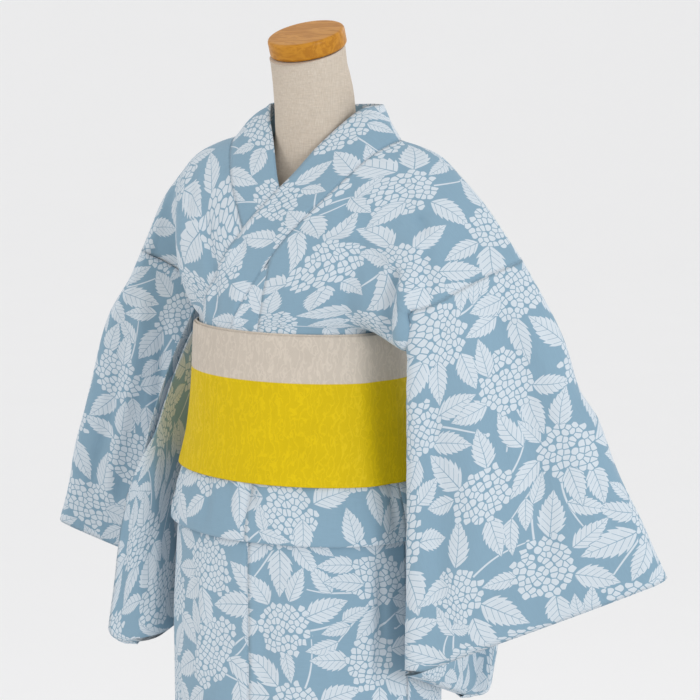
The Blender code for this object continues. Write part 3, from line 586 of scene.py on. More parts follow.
# creases and swells, pushed into every layer of cloth that they pass
falls = {
    "samples": 24,
    "reach": 0.04,  # points further off than this aren't pushed
    "fade": 0.22,  # share of a crease over which it comes and goes
    "ripple": (0.0010, 0.0008),
    # depth, half width and heading of the push (degrees from the front), then its line, in millimetres
    "lines": (
        (-12.0, 7.5, -13, (168, -59, 1208), (168, -69, 1190), (165, -72, 1168), (159, -67, 1135),
         (159, -67, 1121)),
        (6.5, 9.0, -1, (188, -60, 1203), (188, -75, 1175), (182, -78, 1142), (180, -69, 1120),
         (180, -69, 1106)),
        (3.5, 7.2, -4, (136, -58, 1206), (133, -64, 1176), (125, -60, 1140)),
        (-7.0, 6.5, 32, (195, -36, 1236), (203, -49, 1209), (211, -61, 1181), (211, -68, 1150),
         (206, -74, 1118)),
        (-6.5, 7.5, 18, (174, -27, 1258), (183, -33, 1246), (192, -39, 1234)),
        (-3.2, 8.1, 19, (130, 3, 1312), (151, -17, 1284), (168, -28, 1259)),
        (-2.9, 7.6, 12, (84, -18, 1303), (93, -43, 1264), (95, -62, 1222)),
        (-3.2, 7.2, 17, (121, -34, 1271), (120, -52, 1233), (112, -65, 1190), (105, -65, 1150),
         (105, -65, 1136)),
        (2.9, 6.4, 19, (89, -68, 1204), (83, -75, 1174), (78, -77, 1143), (78, -77, 1129)),
        (-3.8, 7.6, -7, (-113, 6, 1314), (-71, -39, 1273), (-39, -64, 1229), (-15, -82, 1190)),
        (-4.1, 6.8, -13, (-105, -38, 1264), (-83, -62, 1222), (-60, -81, 1175), (-54, -86, 1145),
         (-54, -86, 1131)),
        (3.5, 5.5, 21, (-28, -79, 1198), (-25, -87, 1170), (-23, -92, 1139), (-23, -92, 1125)),
        (-1.8, 4.5, 3, (12, -89, 1163), (15, -93, 1135), (15, -93, 1121)),
        (1.8, 5.0, 12, (42, -88, 1157), (42, -89, 1132), (42, -89, 1118)),
        (-1.8, 4.5, 31, (99, -69, 1159), (93, -64, 1129), (93, -64, 1115)),
        (-3.8, 7.2, -21, (-156, 13, 1303), (-134, -27, 1269), (-125, -48, 1234)),
        (6.1, 17.0, 29, (220, -30, 1222), (242, -45, 1139), (255, -48, 1043), (263, -52, 936),
         (265, -57, 827)),
        (-5.2, 15.3, 27, (253, -13, 1203), (288, -18, 1118), (316, -21, 1024), (334, -25, 929),
         (343, -30, 844)),
        (4.3, 12.8, 29, (285, 4, 1180), (331, 2, 1076), (369, -2, 983), (398, -6, 901)),
        (-4.9, 10.2, 27, (219, -67, 1086), (226, -66, 1000), (231, -68, 891), (228, -71, 803)),
        (-2.9, 5.1, 37, (252, -29, 1170), (268, -22, 1151), (289, -10, 1143)),
        (1.6, 6.0, 32, (251, -43, 1116), (273, -33, 1095), (299, -18, 1084)),
        (-1.8, 6.5, 23, (377, 4, 994), (386, 2, 963), (401, 1, 933)),
        (5.2, 10.2, 14, (-234, 23, 1175), (-258, 32, 1089), (-283, 37, 1000), (-312, 42, 908),
         (-332, 46, 841)),
        (-5.8, 7.2, 36, (-222, 37, 1128), (-239, 45, 1040), (-246, 48, 960), (-250, 50, 900)),
        (-4.1, 8.5, 9, (-279, 26, 1088), (-305, 33, 998), (-334, 38, 919), (-355, 43, 852)),
        (-3.8, 5.1, 23, (-232, 20, 1197), (-223, 28, 1175), (-210, 38, 1163)),
        (4.3, 6.4, 8, (-190, -62, 880), (-199, -63, 831), (-206, -63, 769)),
        (-4.9, 5.1, 45, (-176, -52, 880), (-180, -56, 820), (-183, -58, 759)),
        (-6.0, 4.5, 4, (14, -113, 971), (14, -113, 959), (16, -113, 943), (16, -118, 928)),
        (4.3, 5.1, -1, (-4, -110, 966), (-4, -110, 954), (-3, -116, 937), (2, -123, 914)),
        (-7.2, 3.4, -9, (-130, -71, 935), (-127, -75, 917), (-113, -89, 905)),
        (-3.5, 6.4, 22, (70, -100, 971), (70, -100, 959), (74, -103, 933), (80, -107, 910)),
        (3.5, 6.8, 36, (103, -83, 972), (103, -83, 960), (107, -84, 936), (114, -87, 910)),
        (-3.2, 5.5, -15, (-53, -104, 961), (-53, -104, 949), (-49, -114, 925), (-48, -119, 900)),
        (-6.5, 4.2, 60, (147, -53, 899), (144, -50, 830), (145, -53, 762), (145, -53, 726)),
        (3.8, 6.8, 50, (139, -66, 895), (135, -63, 820), (135, -66, 730)),
        (-6.0, 3.5, 71, (144, -24, 973), (144, -24, 961), (147, -30, 931), (152, -36, 903)),
        (-1.0, 3.0, -13, (-92, -97, 808), (-44, -114, 815), (-3, -119, 821)),
        (-1.0, 3.0, 26, (-120, -77, 812), (-109, -86, 818), (-98, -94, 819)),
        (3.8, 13.6, 20, (72, -103, 876), (69, -107, 809), (65, -110, 729)),
        (-3.8, 11.0, 36, (111, -82, 877), (112, -84, 810), (111, -87, 731)),
        (3.5, 10.2, -17, (-54, -110, 860), (-58, -112, 784), (-66, -110, 706)),
        (-3.2, 9.3, 10, (36, -114, 874), (32, -117, 805), (30, -119, 725)),
        (-4.3, 8.5, 151, (150, 74, 1280), (125, 82, 1220), (105, 78, 1150)),
        (-4.6, 8.5, -151, (-150, 72, 1280), (-125, 82, 1220), (-108, 75, 1150)),
        (3.2, 9.3, 166, (60, 104, 1260), (52, 112, 1200), (45, 109, 1140)),
        (-3.2, 8.5, -166, (-55, 106, 1250), (-50, 112, 1190), (-46, 109, 1140)),
        (4.3, 8.5, 155, (190, 47, 1220), (165, 55, 1170), (150, 55, 1140)),
        (4.3, 8.5, 162, (-185, 76, 1210), (-162, 68, 1170), (-150, 60, 1140)),
        (-3.8, 6.0, 161, (60, 121, 950), (61, 128, 930), (63, 133, 905)),
        (3.5, 6.8, -166, (-45, 126, 950), (-46, 132, 930), (-48, 138, 905)),
        (-4.1, 6.0, -145, (-100, 101, 950), (-102, 108, 930), (-104, 113, 905)),
        (-4.3, 13.6, 156, (70, 129, 860), (76, 129, 600), (80, 122, 300), (82, 116, 100)),
        (4.3, 11.9, 138, (110, 107, 860), (118, 105, 600), (124, 94, 350), (126, 83, 100)),
        (4.1, 13.6, -160, (-60, 132, 860), (-66, 133, 550), (-70, 122, 120)),
        (-4.6, 11.9, -138, (-110, 107, 860), (-118, 105, 600), (-124, 92, 300), (-126, 83, 100)),
        (-5.2, 13.6, -149, (300, 32, 1080), (306, 3, 950)),
        (4.6, 12.8, -155, (350, 40, 1020), (362, 20, 900)),
        (4.3, 11.0, -148, (256, 2, 1100), (258, -26, 950), (258, -42, 800)),
        (-5.2, 11.9, -174, (-260, 73, 1080), (-268, 79, 940)),
        (4.6, 11.9, -175, (-310, 71, 1020), (-326, 79, 880)),
        (-3.5, 10.2, -176, (-352, 73, 940), (-366, 80, 840)),
        (4.1, 13.6, -13, (-40, -117, 620), (-44, -113, 400), (-50, -105, 120)),
        (-4.3, 13.6, 10, (30, -118, 620), (34, -115, 400), (40, -107, 120)),
        (4.3, 11.9, 31, (90, -100, 660), (98, -91, 400), (104, -80, 120)),
        (-4.3, 11.9, -36, (-100, -94, 660), (-108, -85, 400), (-114, -72, 120)),
    ),
}


def pushedBy(points, depth, width, heading, *line):
    line = np.array(line, float) / 1000
    chord = np.arange(len(line), dtype=float)
    places = np.linspace(0, chord[-1], falls["samples"])
    line = np.stack([smooth(places, chord, line[:, i]) for i in range(3)], -1)
    push = np.zeros_like(points)
    low, high = line.min(0) - falls["reach"], line.max(0) + falls["reach"]
    close = (points > low).all(1) & (points < high).all(1)
    if not close.any():
        return push
    near = points[close]
    span = np.diff(line, axis=0)
    share = ((near[:, None] - line[:-1]) * span).sum(-1) / (span**2).sum(-1)
    share = np.clip(share, 0, 1)
    away = np.linalg.norm(near[:, None] - (line[:-1] + share[..., None] * span), axis=-1)
    which = away.argmin(1)
    rows = np.arange(len(near))
    along = (which + share[rows, which]) / len(span)
    strength = ease(along, 0, falls["fade"]) * (1 - ease(along, 1 - falls["fade"], 1))
    strength = strength * np.exp(-((away[rows, which] / (width / 1000)) ** 2)) * depth / 1000
    turn = math.radians(heading)
    push[close] = strength[:, None] * np.array([math.sin(turn), -math.cos(turn), 0.0])
    return push


def hung(grid):
    # the same push for every layer at one place, so that seams stay shut and layers stay apart
    points = grid.reshape(-1, 3)
    x, y, z = points.T
    moved = sum(pushedBy(points, *row) for row in falls["lines"])
    calm = 1 - ease(z, 0.90, 0.95) * (1 - ease(z, 1.13, 1.19)) * (1 - ease(np.abs(x), 0.165, 0.19))
    calm = calm * (1 - ease(z, 1.30, 1.34))
    frontSwell = np.sin(41 * x + 9 * z + 0.6) * np.sin(23 * z - 13 * x)
    frontSwell = frontSwell + 0.6 * np.sin(83 * x - 21 * z) * np.sin(51 * z + 2.0)
    sideSwell = np.sin(37 * y + 8 * z) * np.sin(19 * z + 11 * y + 1.1)
    moved[:, 1] -= falls["ripple"][0] * frontSwell * calm
    moved[:, 0] += falls["ripple"][1] * sideSwell * calm
    return (points + moved).reshape(grid.shape)


def shares(first, last, count, gap=0.0):
    found = np.linspace(first, last, count + 1)
    found[0] += math.copysign(gap, last - first)
    found[-1] -= math.copysign(gap, last - first)
    return found


def lengthsOf(points):
    return np.concatenate([[0], np.cumsum(np.linalg.norm(np.diff(points, axis=0), axis=1))])


def denseFirst(turn, first, rest):
    # shares from 0 to 1, closer together up to the turn
    return np.concatenate([np.linspace(0, turn, first)[:-1], np.linspace(turn, 1, rest)])


def layFlat(grid, reference=0, away=1, start=(0.0, 0.0)):
    # the flat place of each point: across from the reference column, down along it
    down = lengthsOf(grid[:, reference])
    flat = np.zeros((*grid.shape[:2], 2))
    for r, row in enumerate(grid):
        across = lengthsOf(row)
        flat[r, :, 0] = start[0] + away * (across - across[reference])
    flat[:, :, 1] = start[1] - down[:, None]
    return flat


def edgePlaces(grid, flat, sewn):
    # distance from the nearest sewn edge, and the place along it
    rows, columns = grid.shape[:2]
    across = np.array([lengthsOf(row) for row in grid])
    down = np.array([lengthsOf(grid[:, c]) for c in range(columns)]).T
    found = {"l": across, "r": across[:, -1:] - across, "t": down, "b": down[-1:] - down}
    place = np.stack([np.full((rows, columns), 0.06), flat[..., 1]], -1)
    for edge in sewn:
        along = flat[..., 1] if edge in "lr" else flat[..., 0]
        nearer = found[edge] < place[..., 0]
        place[..., 0] = np.where(nearer, found[edge], place[..., 0])
        place[..., 1] = np.where(nearer, along, place[..., 1])
    return place


class Cloth:
    # grids of points that are sewn into one piece, with their flat places
    def __init__(self, loose=True):
        self.points, self.faces, self.flat = [], [], []
        self.loose = loose

    def addGrid(self, grid, flat, flip, sewn=""):
        rows, columns = grid.shape[:2]
        flat = np.concatenate([flat, edgePlaces(grid, flat, sewn)], -1)
        if self.loose:
            grid = hung(grid)
        index = np.arange(rows * columns).reshape(rows, columns) + sum(len(p) for p in self.points)
        self.points.append(grid.reshape(-1, 3))
        corners, places = (
            np.stack([of[:-1, :-1], of[:-1, 1:], of[1:, 1:], of[1:, :-1]], 2) for of in (index, flat)
        )
        corners, places = corners.reshape(-1, 4), places.reshape(-1, 4, 4)
        if flip:
            corners, places = corners[:, ::-1], places[:, ::-1]
        self.faces.append(corners)
        self.flat.append(places)

    def make(self, name, wall, doublesWithin=1e-5):
        points, faces = np.concatenate(self.points), np.concatenate(self.faces)
        mesh = bpy.data.meshes.new(name)
        mesh.from_pydata(points.tolist(), [], faces.tolist())
        places = np.concatenate(self.flat).reshape(-1, 4).astype(np.float32)
        for label, columns in (("flat", places[:, :2]), ("edge", places[:, 2:])):
            mesh.uv_layers.new(name=label).data.foreach_set("uv", columns.reshape(-1))
        piece = bpy.data.objects.new(name, mesh)
        bpy.context.scene.collection.objects.link(piece)
        makeActive(piece)
        setMode("EDIT")
        bpy.ops.mesh.select_all(action="SELECT")
        bpy.ops.mesh.remove_doubles(threshold=doublesWithin)
        setMode("OBJECT")
        addWall(piece, wall)
        bpy.ops.object.shade_smooth()
        return piece


def addWall(piece, wall):
    makeActive(piece)
    solid = piece.modifiers.new("wall", "SOLIDIFY")
    solid.thickness = wall
    solid.offset = 0.0
    solid.use_even_offset = False
    solid.use_rim = True
    bpy.ops.object.modifier_apply(modifier=solid.name)


# How finely the robe is made, and where each piece's flat cut lies on the print, left and right.
sewing = {
    "rowPace": 0.0062,  # between rows of points below the waist
    "bodiceRows": (0.12, 9, 44),  # closer rows up to the first share
    "widthColumns": 34,
    "neckColumns": 15,
    "overlapColumns": 25,
    "overlapRows": 14,
    "sleeveRows": (0.045, 10, 76),
    "napeClear": 0.006,  # between the back's upper edge and the collar's seam
    "widthStart": {1: (0.0, 0.0), -1: (0.16, 0.23)},
    "overlapStart": {1: (0.17, 0.09), -1: (0.05, 0.31)},
    "sleeveStart": {1: (0.31, 0.12), -1: (0.08, 0.12)},
    "collarStart": (0.11, 0.05),
}


def frontOf(side):
    return "leftFront" if side > 0 else "rightFront"


def bodyWidth(side):
    panel, step = frontOf(side), sewing["rowPace"]
    seam, gap = robe["seamShare"], robe["seamGap"]
    columns, neck = sewing["widthColumns"], sewing["neckColumns"]
    levels = denseFirst(*sewing["bodiceRows"])
    grid = [bodice(panel, side * shares(innerEdge(t), 1.0, columns, seam), t) for t in levels]
    angles = shares(robe["okumiSeam"], robe["sideSeam"], columns, gap)
    grid += [lowerLine(side * angles, row) for row in lowerRows(panel, step)]
    front = np.array(grid)
    cloth = Cloth()
    start = sewing["widthStart"][side]
    cloth.addGrid(front, layFlat(front, columns, -side, start), side < 0, "lrb")
    ridge = np.concatenate([shares(0.0, seamAt(0), neck)[:-1], shares(seamAt(0), 1.0, columns, seam)])
    ridge[0] += seam
    waist = shares(0.0, 1.0, neck + columns, seam)
    nape = fromTable(neckband["nape"], ridge, 1) + sewing["napeClear"]
    nape[neck:] = 0.0
    grid = [bodice("back", side * (ridge + (waist - ridge) * f), nape + (1 - nape) * f) for f in levels]
    angles = shares(180.0, robe["sideSeam"], neck + columns, gap)
    grid += [lowerLine(side * angles, row) for row in lowerRows("back", step)]
    back = np.array(grid)
    # the middle seam lies straight on the cloth, and the print runs over the shoulder from the front
    cut = bodice("back", side * ridge, nape) - bodice("back", side * ridge, 0.0)
    down = np.array([lengthsOf(back[:, c]) for c in range(neck + columns + 1)]).T
    down = down + np.linalg.norm(cut, axis=1)
    across = np.array([lengthsOf(row) for row in back])
    flat = np.stack([start[0] + side * (across - across[0, -1]), start[1] + down], -1)
    cloth.addGrid(back, flat, side > 0, "lrb")
    return cloth


def overlap(side):
    panel, columns = frontOf(side), sewing["overlapColumns"]
    grid = []
    for t in np.linspace(robe["okumiFrom"], 1.0, sewing["overlapRows"]):
        grid.append(bodice(panel, side * shares(seamAt(t), innerEdge(t), columns, robe["seamShare"]), t))
    for row in lowerRows(panel, sewing["rowPace"]):
        hidden = row[0] > 0.96 and row[1] == robe["runs"][panel]["over"]
        inner = overlapEdge(row[0]) if hidden else robe["overlapEdge"]
        grid.append(lowerLine(side * shares(inner, robe["okumiSeam"], columns, robe["seamGap"]), row))
    grid = np.array(grid)
    cloth = Cloth()
    cloth.addGrid(grid, layFlat(grid, columns, -side, sewing["overlapStart"][side]), side < 0, "lrb")
    return cloth


def collarBand():
    across = np.linspace(0, 1, 11)

    def onFront(side, t):
        seam, edge = seamAt(t) - robe["seamShare"], seamAt(t, 2)
        points = bodice(frontOf(side), side * (seam + (edge - seam) * across), t)
        up = smooth(across, (0.0, 0.33, 0.67, 1.0), (0.0, 0.55, 0.85, 1.0))
        points[:, 2] += seamAt(t, 3) * up
        return points

    def onNape(side, s):
        t, out, back, height = (float(fromTable(neckband["nape"], s, i)) for i in (1, 2, 3, 4))
        seam = bodice("back", np.array([side * s]), max(t + neckband["napeSeam"], 0.0))[0]
        edge = np.array([side * out, back, height])
        bow = np.sin(np.pi * across)[:, None] * np.array(neckband["napeBow"])
        return seam + (edge - seam) * across[:, None] + bow

    def underObi(side, height):
        seam = overlapEdge(height) - robe["seamGap"]
        width = (seamAt(1.0) - seamAt(1.0, 2)) * robe["sideSeam"]
        lift = robe["runs"][frontOf(side)]["over"] * robe["layer"]
        return ring(side * (seam - width * across), height, lift)

    half = [(underObi, height) for height in (1.07, 1.08, 1.09, 1.10, 1.11, 1.12)]
    half += [(onFront, t) for t in np.linspace(1.0, 0.02, 60)]
    half += [(onNape, s) for s in np.linspace(0.425, 0.02, 24)]
    left = [make(1, at) for make, at in half]
    right = [make(-1, at) for make, at in reversed(half)]
    grid = np.array(left + [onNape(1, 0.0)] + right)
    cloth = Cloth()
    cloth.addGrid(grid, layFlat(grid, 5, 1, sewing["collarStart"]), False, "l")
    return cloth


def sleeveCloth(side):
    across = np.concatenate([[robe["seamShare"]], np.linspace(0.015, 1, sleeves["columns"])])
    down = denseFirst(*sewing["sleeveRows"])
    cloth = Cloth()
    faces = {}
    for face in (1, -1):
        lines = []
        for a in across:
            inside = max(0.0, sleeves["corner"] - (1 - a) * sleeves["width"])
            cut = sleeves["corner"] - math.sqrt(sleeves["corner"] ** 2 - inside**2)
            lines.append(sleevePoints(side, a, down * (1 - cut / sleeves["height"]), face))
        grid = np.array(lines).transpose(1, 0, 2)
        start = sewing["sleeveStart"][side]
        flat = layFlat(grid, 20, side, start)
        if face < 0:
            flat[:, :, 1] = 2 * start[1] - flat[:, :, 1]
        cloth.addGrid(grid, flat, (face > 0) == (side < 0), "lrb")
        faces[face] = (grid, flat)
    (front, frontFlat), (back, _) = faces[1], faces[-1]
    # the folded bottom, and the sewn part of the wrist
    middle = (front[-1] + back[-1]) / 2 - np.array([0, 0, sleeves["fold"]])
    bottom = np.array([front[-1], middle, back[-1]])
    flat = np.stack([frontFlat[-1], frontFlat[-1] - (0, 0.006), frontFlat[-1] - (0, 0.012)])
    cloth.addGrid(bottom, flat, side < 0)
    start = int(np.searchsorted(down, sleeves["cuffOpening"] / sleeves["height"]))
    edge = np.array([front[start:, -1], back[start:, -1]])
    flat = np.stack([frontFlat[start:, -1], frontFlat[start:, -1] + (0.012, 0)])
    cloth.addGrid(edge, flat, side > 0)
    return cloth


def obiRing(angles, height, pitch):
    # the obi lies on the fronts' outermost layer, and closer in behind the side seams
    front = 1 - ease(np.abs(angles), robe["evenFrom"], robe["sideSeam"] - 4.0)
    return ring(angles, height, robe["layer"] * (4.0 + 3.0 * front) + pitch)


# The print: heads of hydrangea, leaves and stems. All of printLayout is in millimetres and degrees.
printCloth = {
    "repeat": (360, 420),
    "floret": 0.0068,  # from one floret to the next
    "gap": 0.075,  # half the blue line between florets, as a share of a floret
    "irregular": 0.72,
    "blue": (0.238, 0.374, 0.478),
    "white": (0.62, 0.685, 0.74),
    # a leaf's half width from base to tip, as a share of its widest
    "leafCurve": ((0.04, 0.26), (0.12, 0.62), (0.25, 0.92), (0.38, 1.0), (0.55, 0.90), (0.72, 0.64),
                  (0.88, 0.27)),
    "weave": {"Thread": 0.0011, "Slub": 1.0},
    "wear": {"Size": 9.0, "Depth": 0.10},
    "rough": 0.86,
    "finish": {"Specular IOR Level": 0.25, "Sheen Weight": 0.15, "Sheen Roughness": 0.5},
    "bump": (1.0, 0.0003),  # strength and height
    "reach": 1.45,  # a face keeps a motif up to this share of the motif's own reach
    "slots": {"head": 2, "leaf": 4, "topLeaf": 1, "stem": 2},  # motifs that one face can hold
}
printLayout = {
    "seed": 7,
    "pitch": 2,  # between the points on which motifs are tried
    "headGrid": (4, 4),
    "emptyPlace": (2, 1),  # left to the leaves
    "headShift": (13, 15),
    "headHalf": ((27, 31), (31, 36)),
    "longHeads": (2, 6, 9, 13),
    "longHalf": ((25, 28), (44, 52)),
    "headsApart": 30,
    "pushes": 60,
    "push": 0.12,  # share of the missing distance that one push makes good
    "nearby": 8,  # motifs closer than this count as crowding each other
    "mostLeaves": 4,
    "mostHidden": 0.45,
    "overlapCost": 1.2,
    "luck": 0.15,
    "rosette": {"leaves": (3, 4, 4, 5), "offers": 26, "reach": (0.84, 1.02), "length": (42, 56),
                "spread": 35, "ratio": (0.22, 0.28), "bend": 0.2, "overlap": 0.24, "fresh": 0.55},
    "stems": {"count": 15, "tries": 3000, "reach": 0.9, "spread": 40, "length": (38, 75), "bend": 0.5,
              "half": 0.8, "fresh": 0.62, "most": 2},
    "fill": {"cover": 0.70, "leaves": 76, "tries": 500, "offers": 30, "onStem": 0.6, "along": (0.35, 1),
             "slant": (15, 60), "reach": (0.75, 1.0), "spread": 50, "length": (32, 50),
             "ratio": (0.20, 0.26), "bend": 0.18, "overlap": 0.2, "fresh": 0.58},
    "top": {"count": 9, "tries": 4000, "reach": (0.45, 0.75), "spread": 60, "length": (40, 50),
            "ratio": (0.22, 0.27), "bend": 0.15, "onHead": (0.3, 0.6), "onLeaf": 0.12},
    "leafLine": ((0, 0), (0.04, 0.30), (0.12, 0.62), (0.25, 0.90), (0.38, 1.0), (0.55, 0.90), (0.72, 0.66),
                 (0.87, 0.34), (1, 0)),
}


def layPrint():
    # heads are pushed apart, leaves are put round them, stems grow from them and leaves fill the gaps
    lay = printLayout
    draw = random.Random(lay["seed"])
    width, height = printCloth["repeat"]
    pitch = lay["pitch"]
    gridU, gridV = np.meshgrid(*(np.arange(0, full, pitch) + pitch / 2 for full in (width, height)))
    cover = {kind: np.zeros_like(gridU, bool) for kind in ("head", "leaf", "stem")}
    crowd = {kind: np.zeros_like(gridU, int) for kind in ("leaf", "topLeaf", "stem")}

    def wrapped(u, v):
        return (u + width / 2) % width - width / 2, (v + height / 2) % height - height / 2

    def ownAxes(row, turn):
        u, v = wrapped(gridU - row[0], gridV - row[1])
        across, along = math.sin(math.radians(turn)), math.cos(math.radians(turn))
        return u * along + v * across, v * along - u * across

    def headShape(row):
        x, y = ownAxes(row, row[4])
        return (x / row[2]) ** 2 + (y / row[3]) ** 2 < 1

    def leafShape(row, grow=0):
        x, y = (value / row[3] for value in ownAxes(row, row[2]))
        half = row[4] * np.interp(x, *zip(*lay["leafLine"]))
        return (x > 0) & (x < 1) & (np.abs(y - row[5] * x * x) < half + grow / row[3])

    def stemShape(row, grow):
        x, y = ownAxes(row, row[2])
        return (x > 0) & (x < row[3]) & (np.abs(y - row[4] * x * x / row[3]) < lay["stems"]["half"] + grow)

    def onHead(head, turn, reach):
        # the point at a share of the way from a head's middle to its rim
        own = turn - math.radians(head[4])
        far = 1 / math.sqrt((math.cos(own) / head[2]) ** 2 + (math.sin(own) / head[3]) ** 2) * reach
        return head[0] + far * math.cos(turn), head[1] + far * math.sin(turn)

    def motifRow(place, turn, length, *shape):
        ends = (round(place[0]) % width, round(place[1]) % height)
        return (*ends, round(turn) % 360, round(length), *(round(value, 2) for value in shape))

    def leafRow(place, turn, rule, length=None):
        length = length or draw.uniform(*rule["length"])
        ratio = draw.uniform(*rule["ratio"])
        return motifRow(place, turn, length, ratio, draw.uniform(-rule["bend"], rule["bend"]))

    def addLeaf(offers, rule):
        best = None
        for row in offers:
            shape, near = leafShape(row), leafShape(row, lay["nearby"])
            area = shape.sum()
            fresh = (shape & ~cover["head"] & ~cover["leaf"]).sum() / area
            over = (shape & cover["leaf"]).sum() / area
            if near.any() and crowd["leaf"][near].max() >= lay["mostLeaves"]:
                continue
            hidden = (shape & cover["head"]).sum() / area
            if over > rule["overlap"] or fresh < rule["fresh"] or hidden > lay["mostHidden"]:
                continue
            score = fresh - lay["overlapCost"] * over + draw.uniform(0, lay["luck"])
            if best is None or score > best[0]:
                best = score, row, shape, near
        if best:
            leaves.append(best[1])
            cover["leaf"] |= best[2]
            crowd["leaf"][best[3]] += 1

    heads, leaves, stems, tops = [], [], [], []
    (columns, rows), (shiftU, shiftV) = lay["headGrid"], lay["headShift"]
    for i in range(columns):
        for j in range(rows):
            if (i, j) == lay["emptyPlace"]:
                continue
            u = (i + 0.5) * width / columns + draw.uniform(-shiftU, shiftU)
            v = (j + (0.25 if i % 2 else 0.75)) * height / rows + draw.uniform(-shiftV, shiftV)
            half = [draw.uniform(*limits) for limits in lay["headHalf"]]
            if len(heads) in lay["longHeads"]:
                half = [draw.uniform(*limits) for limits in lay["longHalf"]]
            place = (round(u) % width, round(v) % height)
            heads.append((*place, *(round(value) for value in half), draw.randrange(0, 180, 10)))
    for _ in range(lay["pushes"]):
        moved = []
        for head in heads:
            pushU = pushV = 0
            for other in heads:
                if other is head:
                    continue
                u, v = wrapped(head[0] - other[0], head[1] - other[1])
                far = math.hypot(u, v) + 1e-6
                need = (head[2] + head[3] + other[2] + other[3]) / 2 + lay["headsApart"]
                if far < need:
                    pushU += u / far * (need - far) * lay["push"]
                    pushV += v / far * (need - far) * lay["push"]
            moved.append(((head[0] + pushU) % width, (head[1] + pushV) % height, *head[2:]))
        heads = moved
    heads = [(round(head[0]), round(head[1]), *head[2:]) for head in heads]
    for head in heads:
        cover["head"] |= headShape(head)

    rule = lay["rosette"]
    for head in heads:
        for _ in range(draw.choice(rule["leaves"])):
            offers = []
            for _ in range(rule["offers"]):
                turn = draw.uniform(0, 360)
                place = onHead(head, math.radians(turn), draw.uniform(*rule["reach"]))
                length = draw.uniform(*rule["length"])
                turn += draw.uniform(-rule["spread"], rule["spread"])
                offers.append(leafRow(place, turn, rule, length))
            addLeaf(offers, rule)

    rule = lay["stems"]
    for _ in range(rule["tries"]):
        head = draw.choice(heads)
        turn = draw.uniform(0, 2 * math.pi)
        place = onHead(head, turn, rule["reach"])
        turn = math.degrees(turn) + draw.uniform(-rule["spread"], rule["spread"])
        row = motifRow(place, turn, draw.uniform(*rule["length"]), draw.uniform(-rule["bend"], rule["bend"]))
        shape, near = stemShape(row, 1), stemShape(row, lay["nearby"])
        free = (shape & ~cover["head"] & ~cover["leaf"] & ~cover["stem"]).sum() / max(1, shape.sum())
        if free > rule["fresh"] and crowd["stem"][near].max() < rule["most"]:
            stems.append(row)
            cover["stem"] |= shape
            crowd["stem"][near] += 1
        if len(stems) == rule["count"]:
            break

    rule = lay["fill"]
    for _ in range(rule["tries"]):
        if (cover["head"] | cover["leaf"]).mean() >= rule["cover"] or len(leaves) >= rule["leaves"]:
            break
        offers = []
        for _ in range(rule["offers"]):
            if draw.random() < rule["onStem"] and stems:
                stem = draw.choice(stems)
                x = draw.uniform(*rule["along"]) * stem[3]
                y = stem[4] * x * x / stem[3]
                c, s = math.cos(math.radians(stem[2])), math.sin(math.radians(stem[2]))
                place = (stem[0] + x * c - y * s, stem[1] + x * s + y * c)
                turn = stem[2] + math.degrees(math.atan(2 * stem[4] * x / stem[3]))
                turn += draw.choice((-1, 1)) * draw.uniform(*rule["slant"])
            else:
                head = draw.choice(heads)
                turn = draw.uniform(0, 2 * math.pi)
                place = onHead(head, turn, draw.uniform(*rule["reach"]))
                turn = math.degrees(turn) + draw.uniform(-rule["spread"], rule["spread"])
            offers.append(leafRow(place, turn, rule))
        addLeaf(offers, rule)

    rule = lay["top"]
    for _ in range(rule["tries"]):
        if len(tops) >= rule["count"]:
            break
        head = draw.choice(heads)
        turn = draw.uniform(0, 360)
        place = onHead(head, math.radians(turn), draw.uniform(*rule["reach"]))
        row = leafRow(place, turn + draw.uniform(-rule["spread"], rule["spread"]), rule)
        shape, near = leafShape(row), leafShape(row, lay["nearby"])
        area = shape.sum()
        if not rule["onHead"][0] < (shape & cover["head"]).sum() / area < rule["onHead"][1]:
            continue
        onLeaf = (shape & cover["leaf"] & ~cover["head"]).sum() / area
        if onLeaf <= rule["onLeaf"] and crowd["topLeaf"][near].max() < 1:
            tops.append(row)
            crowd["topLeaf"][near] += 1
    return {"head": heads, "leaf": leaves, "topLeaf": tops, "stem": stems}


printChart = layPrint()
print("print laid out")


def motifReach(kind, row):
    # the middle of a motif and how far it reaches, along and across its heading
    if kind == "head":
        return row[0], row[1], row[4], row[2] + 5, row[3] + 5
    turn = math.radians(row[2])
    half = row[3] / 2
    bend = row[5] if kind != "stem" else row[4]
    u = row[0] + half * math.cos(turn) - bend * half / 2 * math.sin(turn)
    v = row[1] + half * math.sin(turn) + bend * half / 2 * math.cos(turn)
    across = row[4] * row[3] + abs(bend) * half / 2 if kind != "stem" else 4 + abs(bend) * half / 2
    return u, v, row[2], half + 3, across + 2


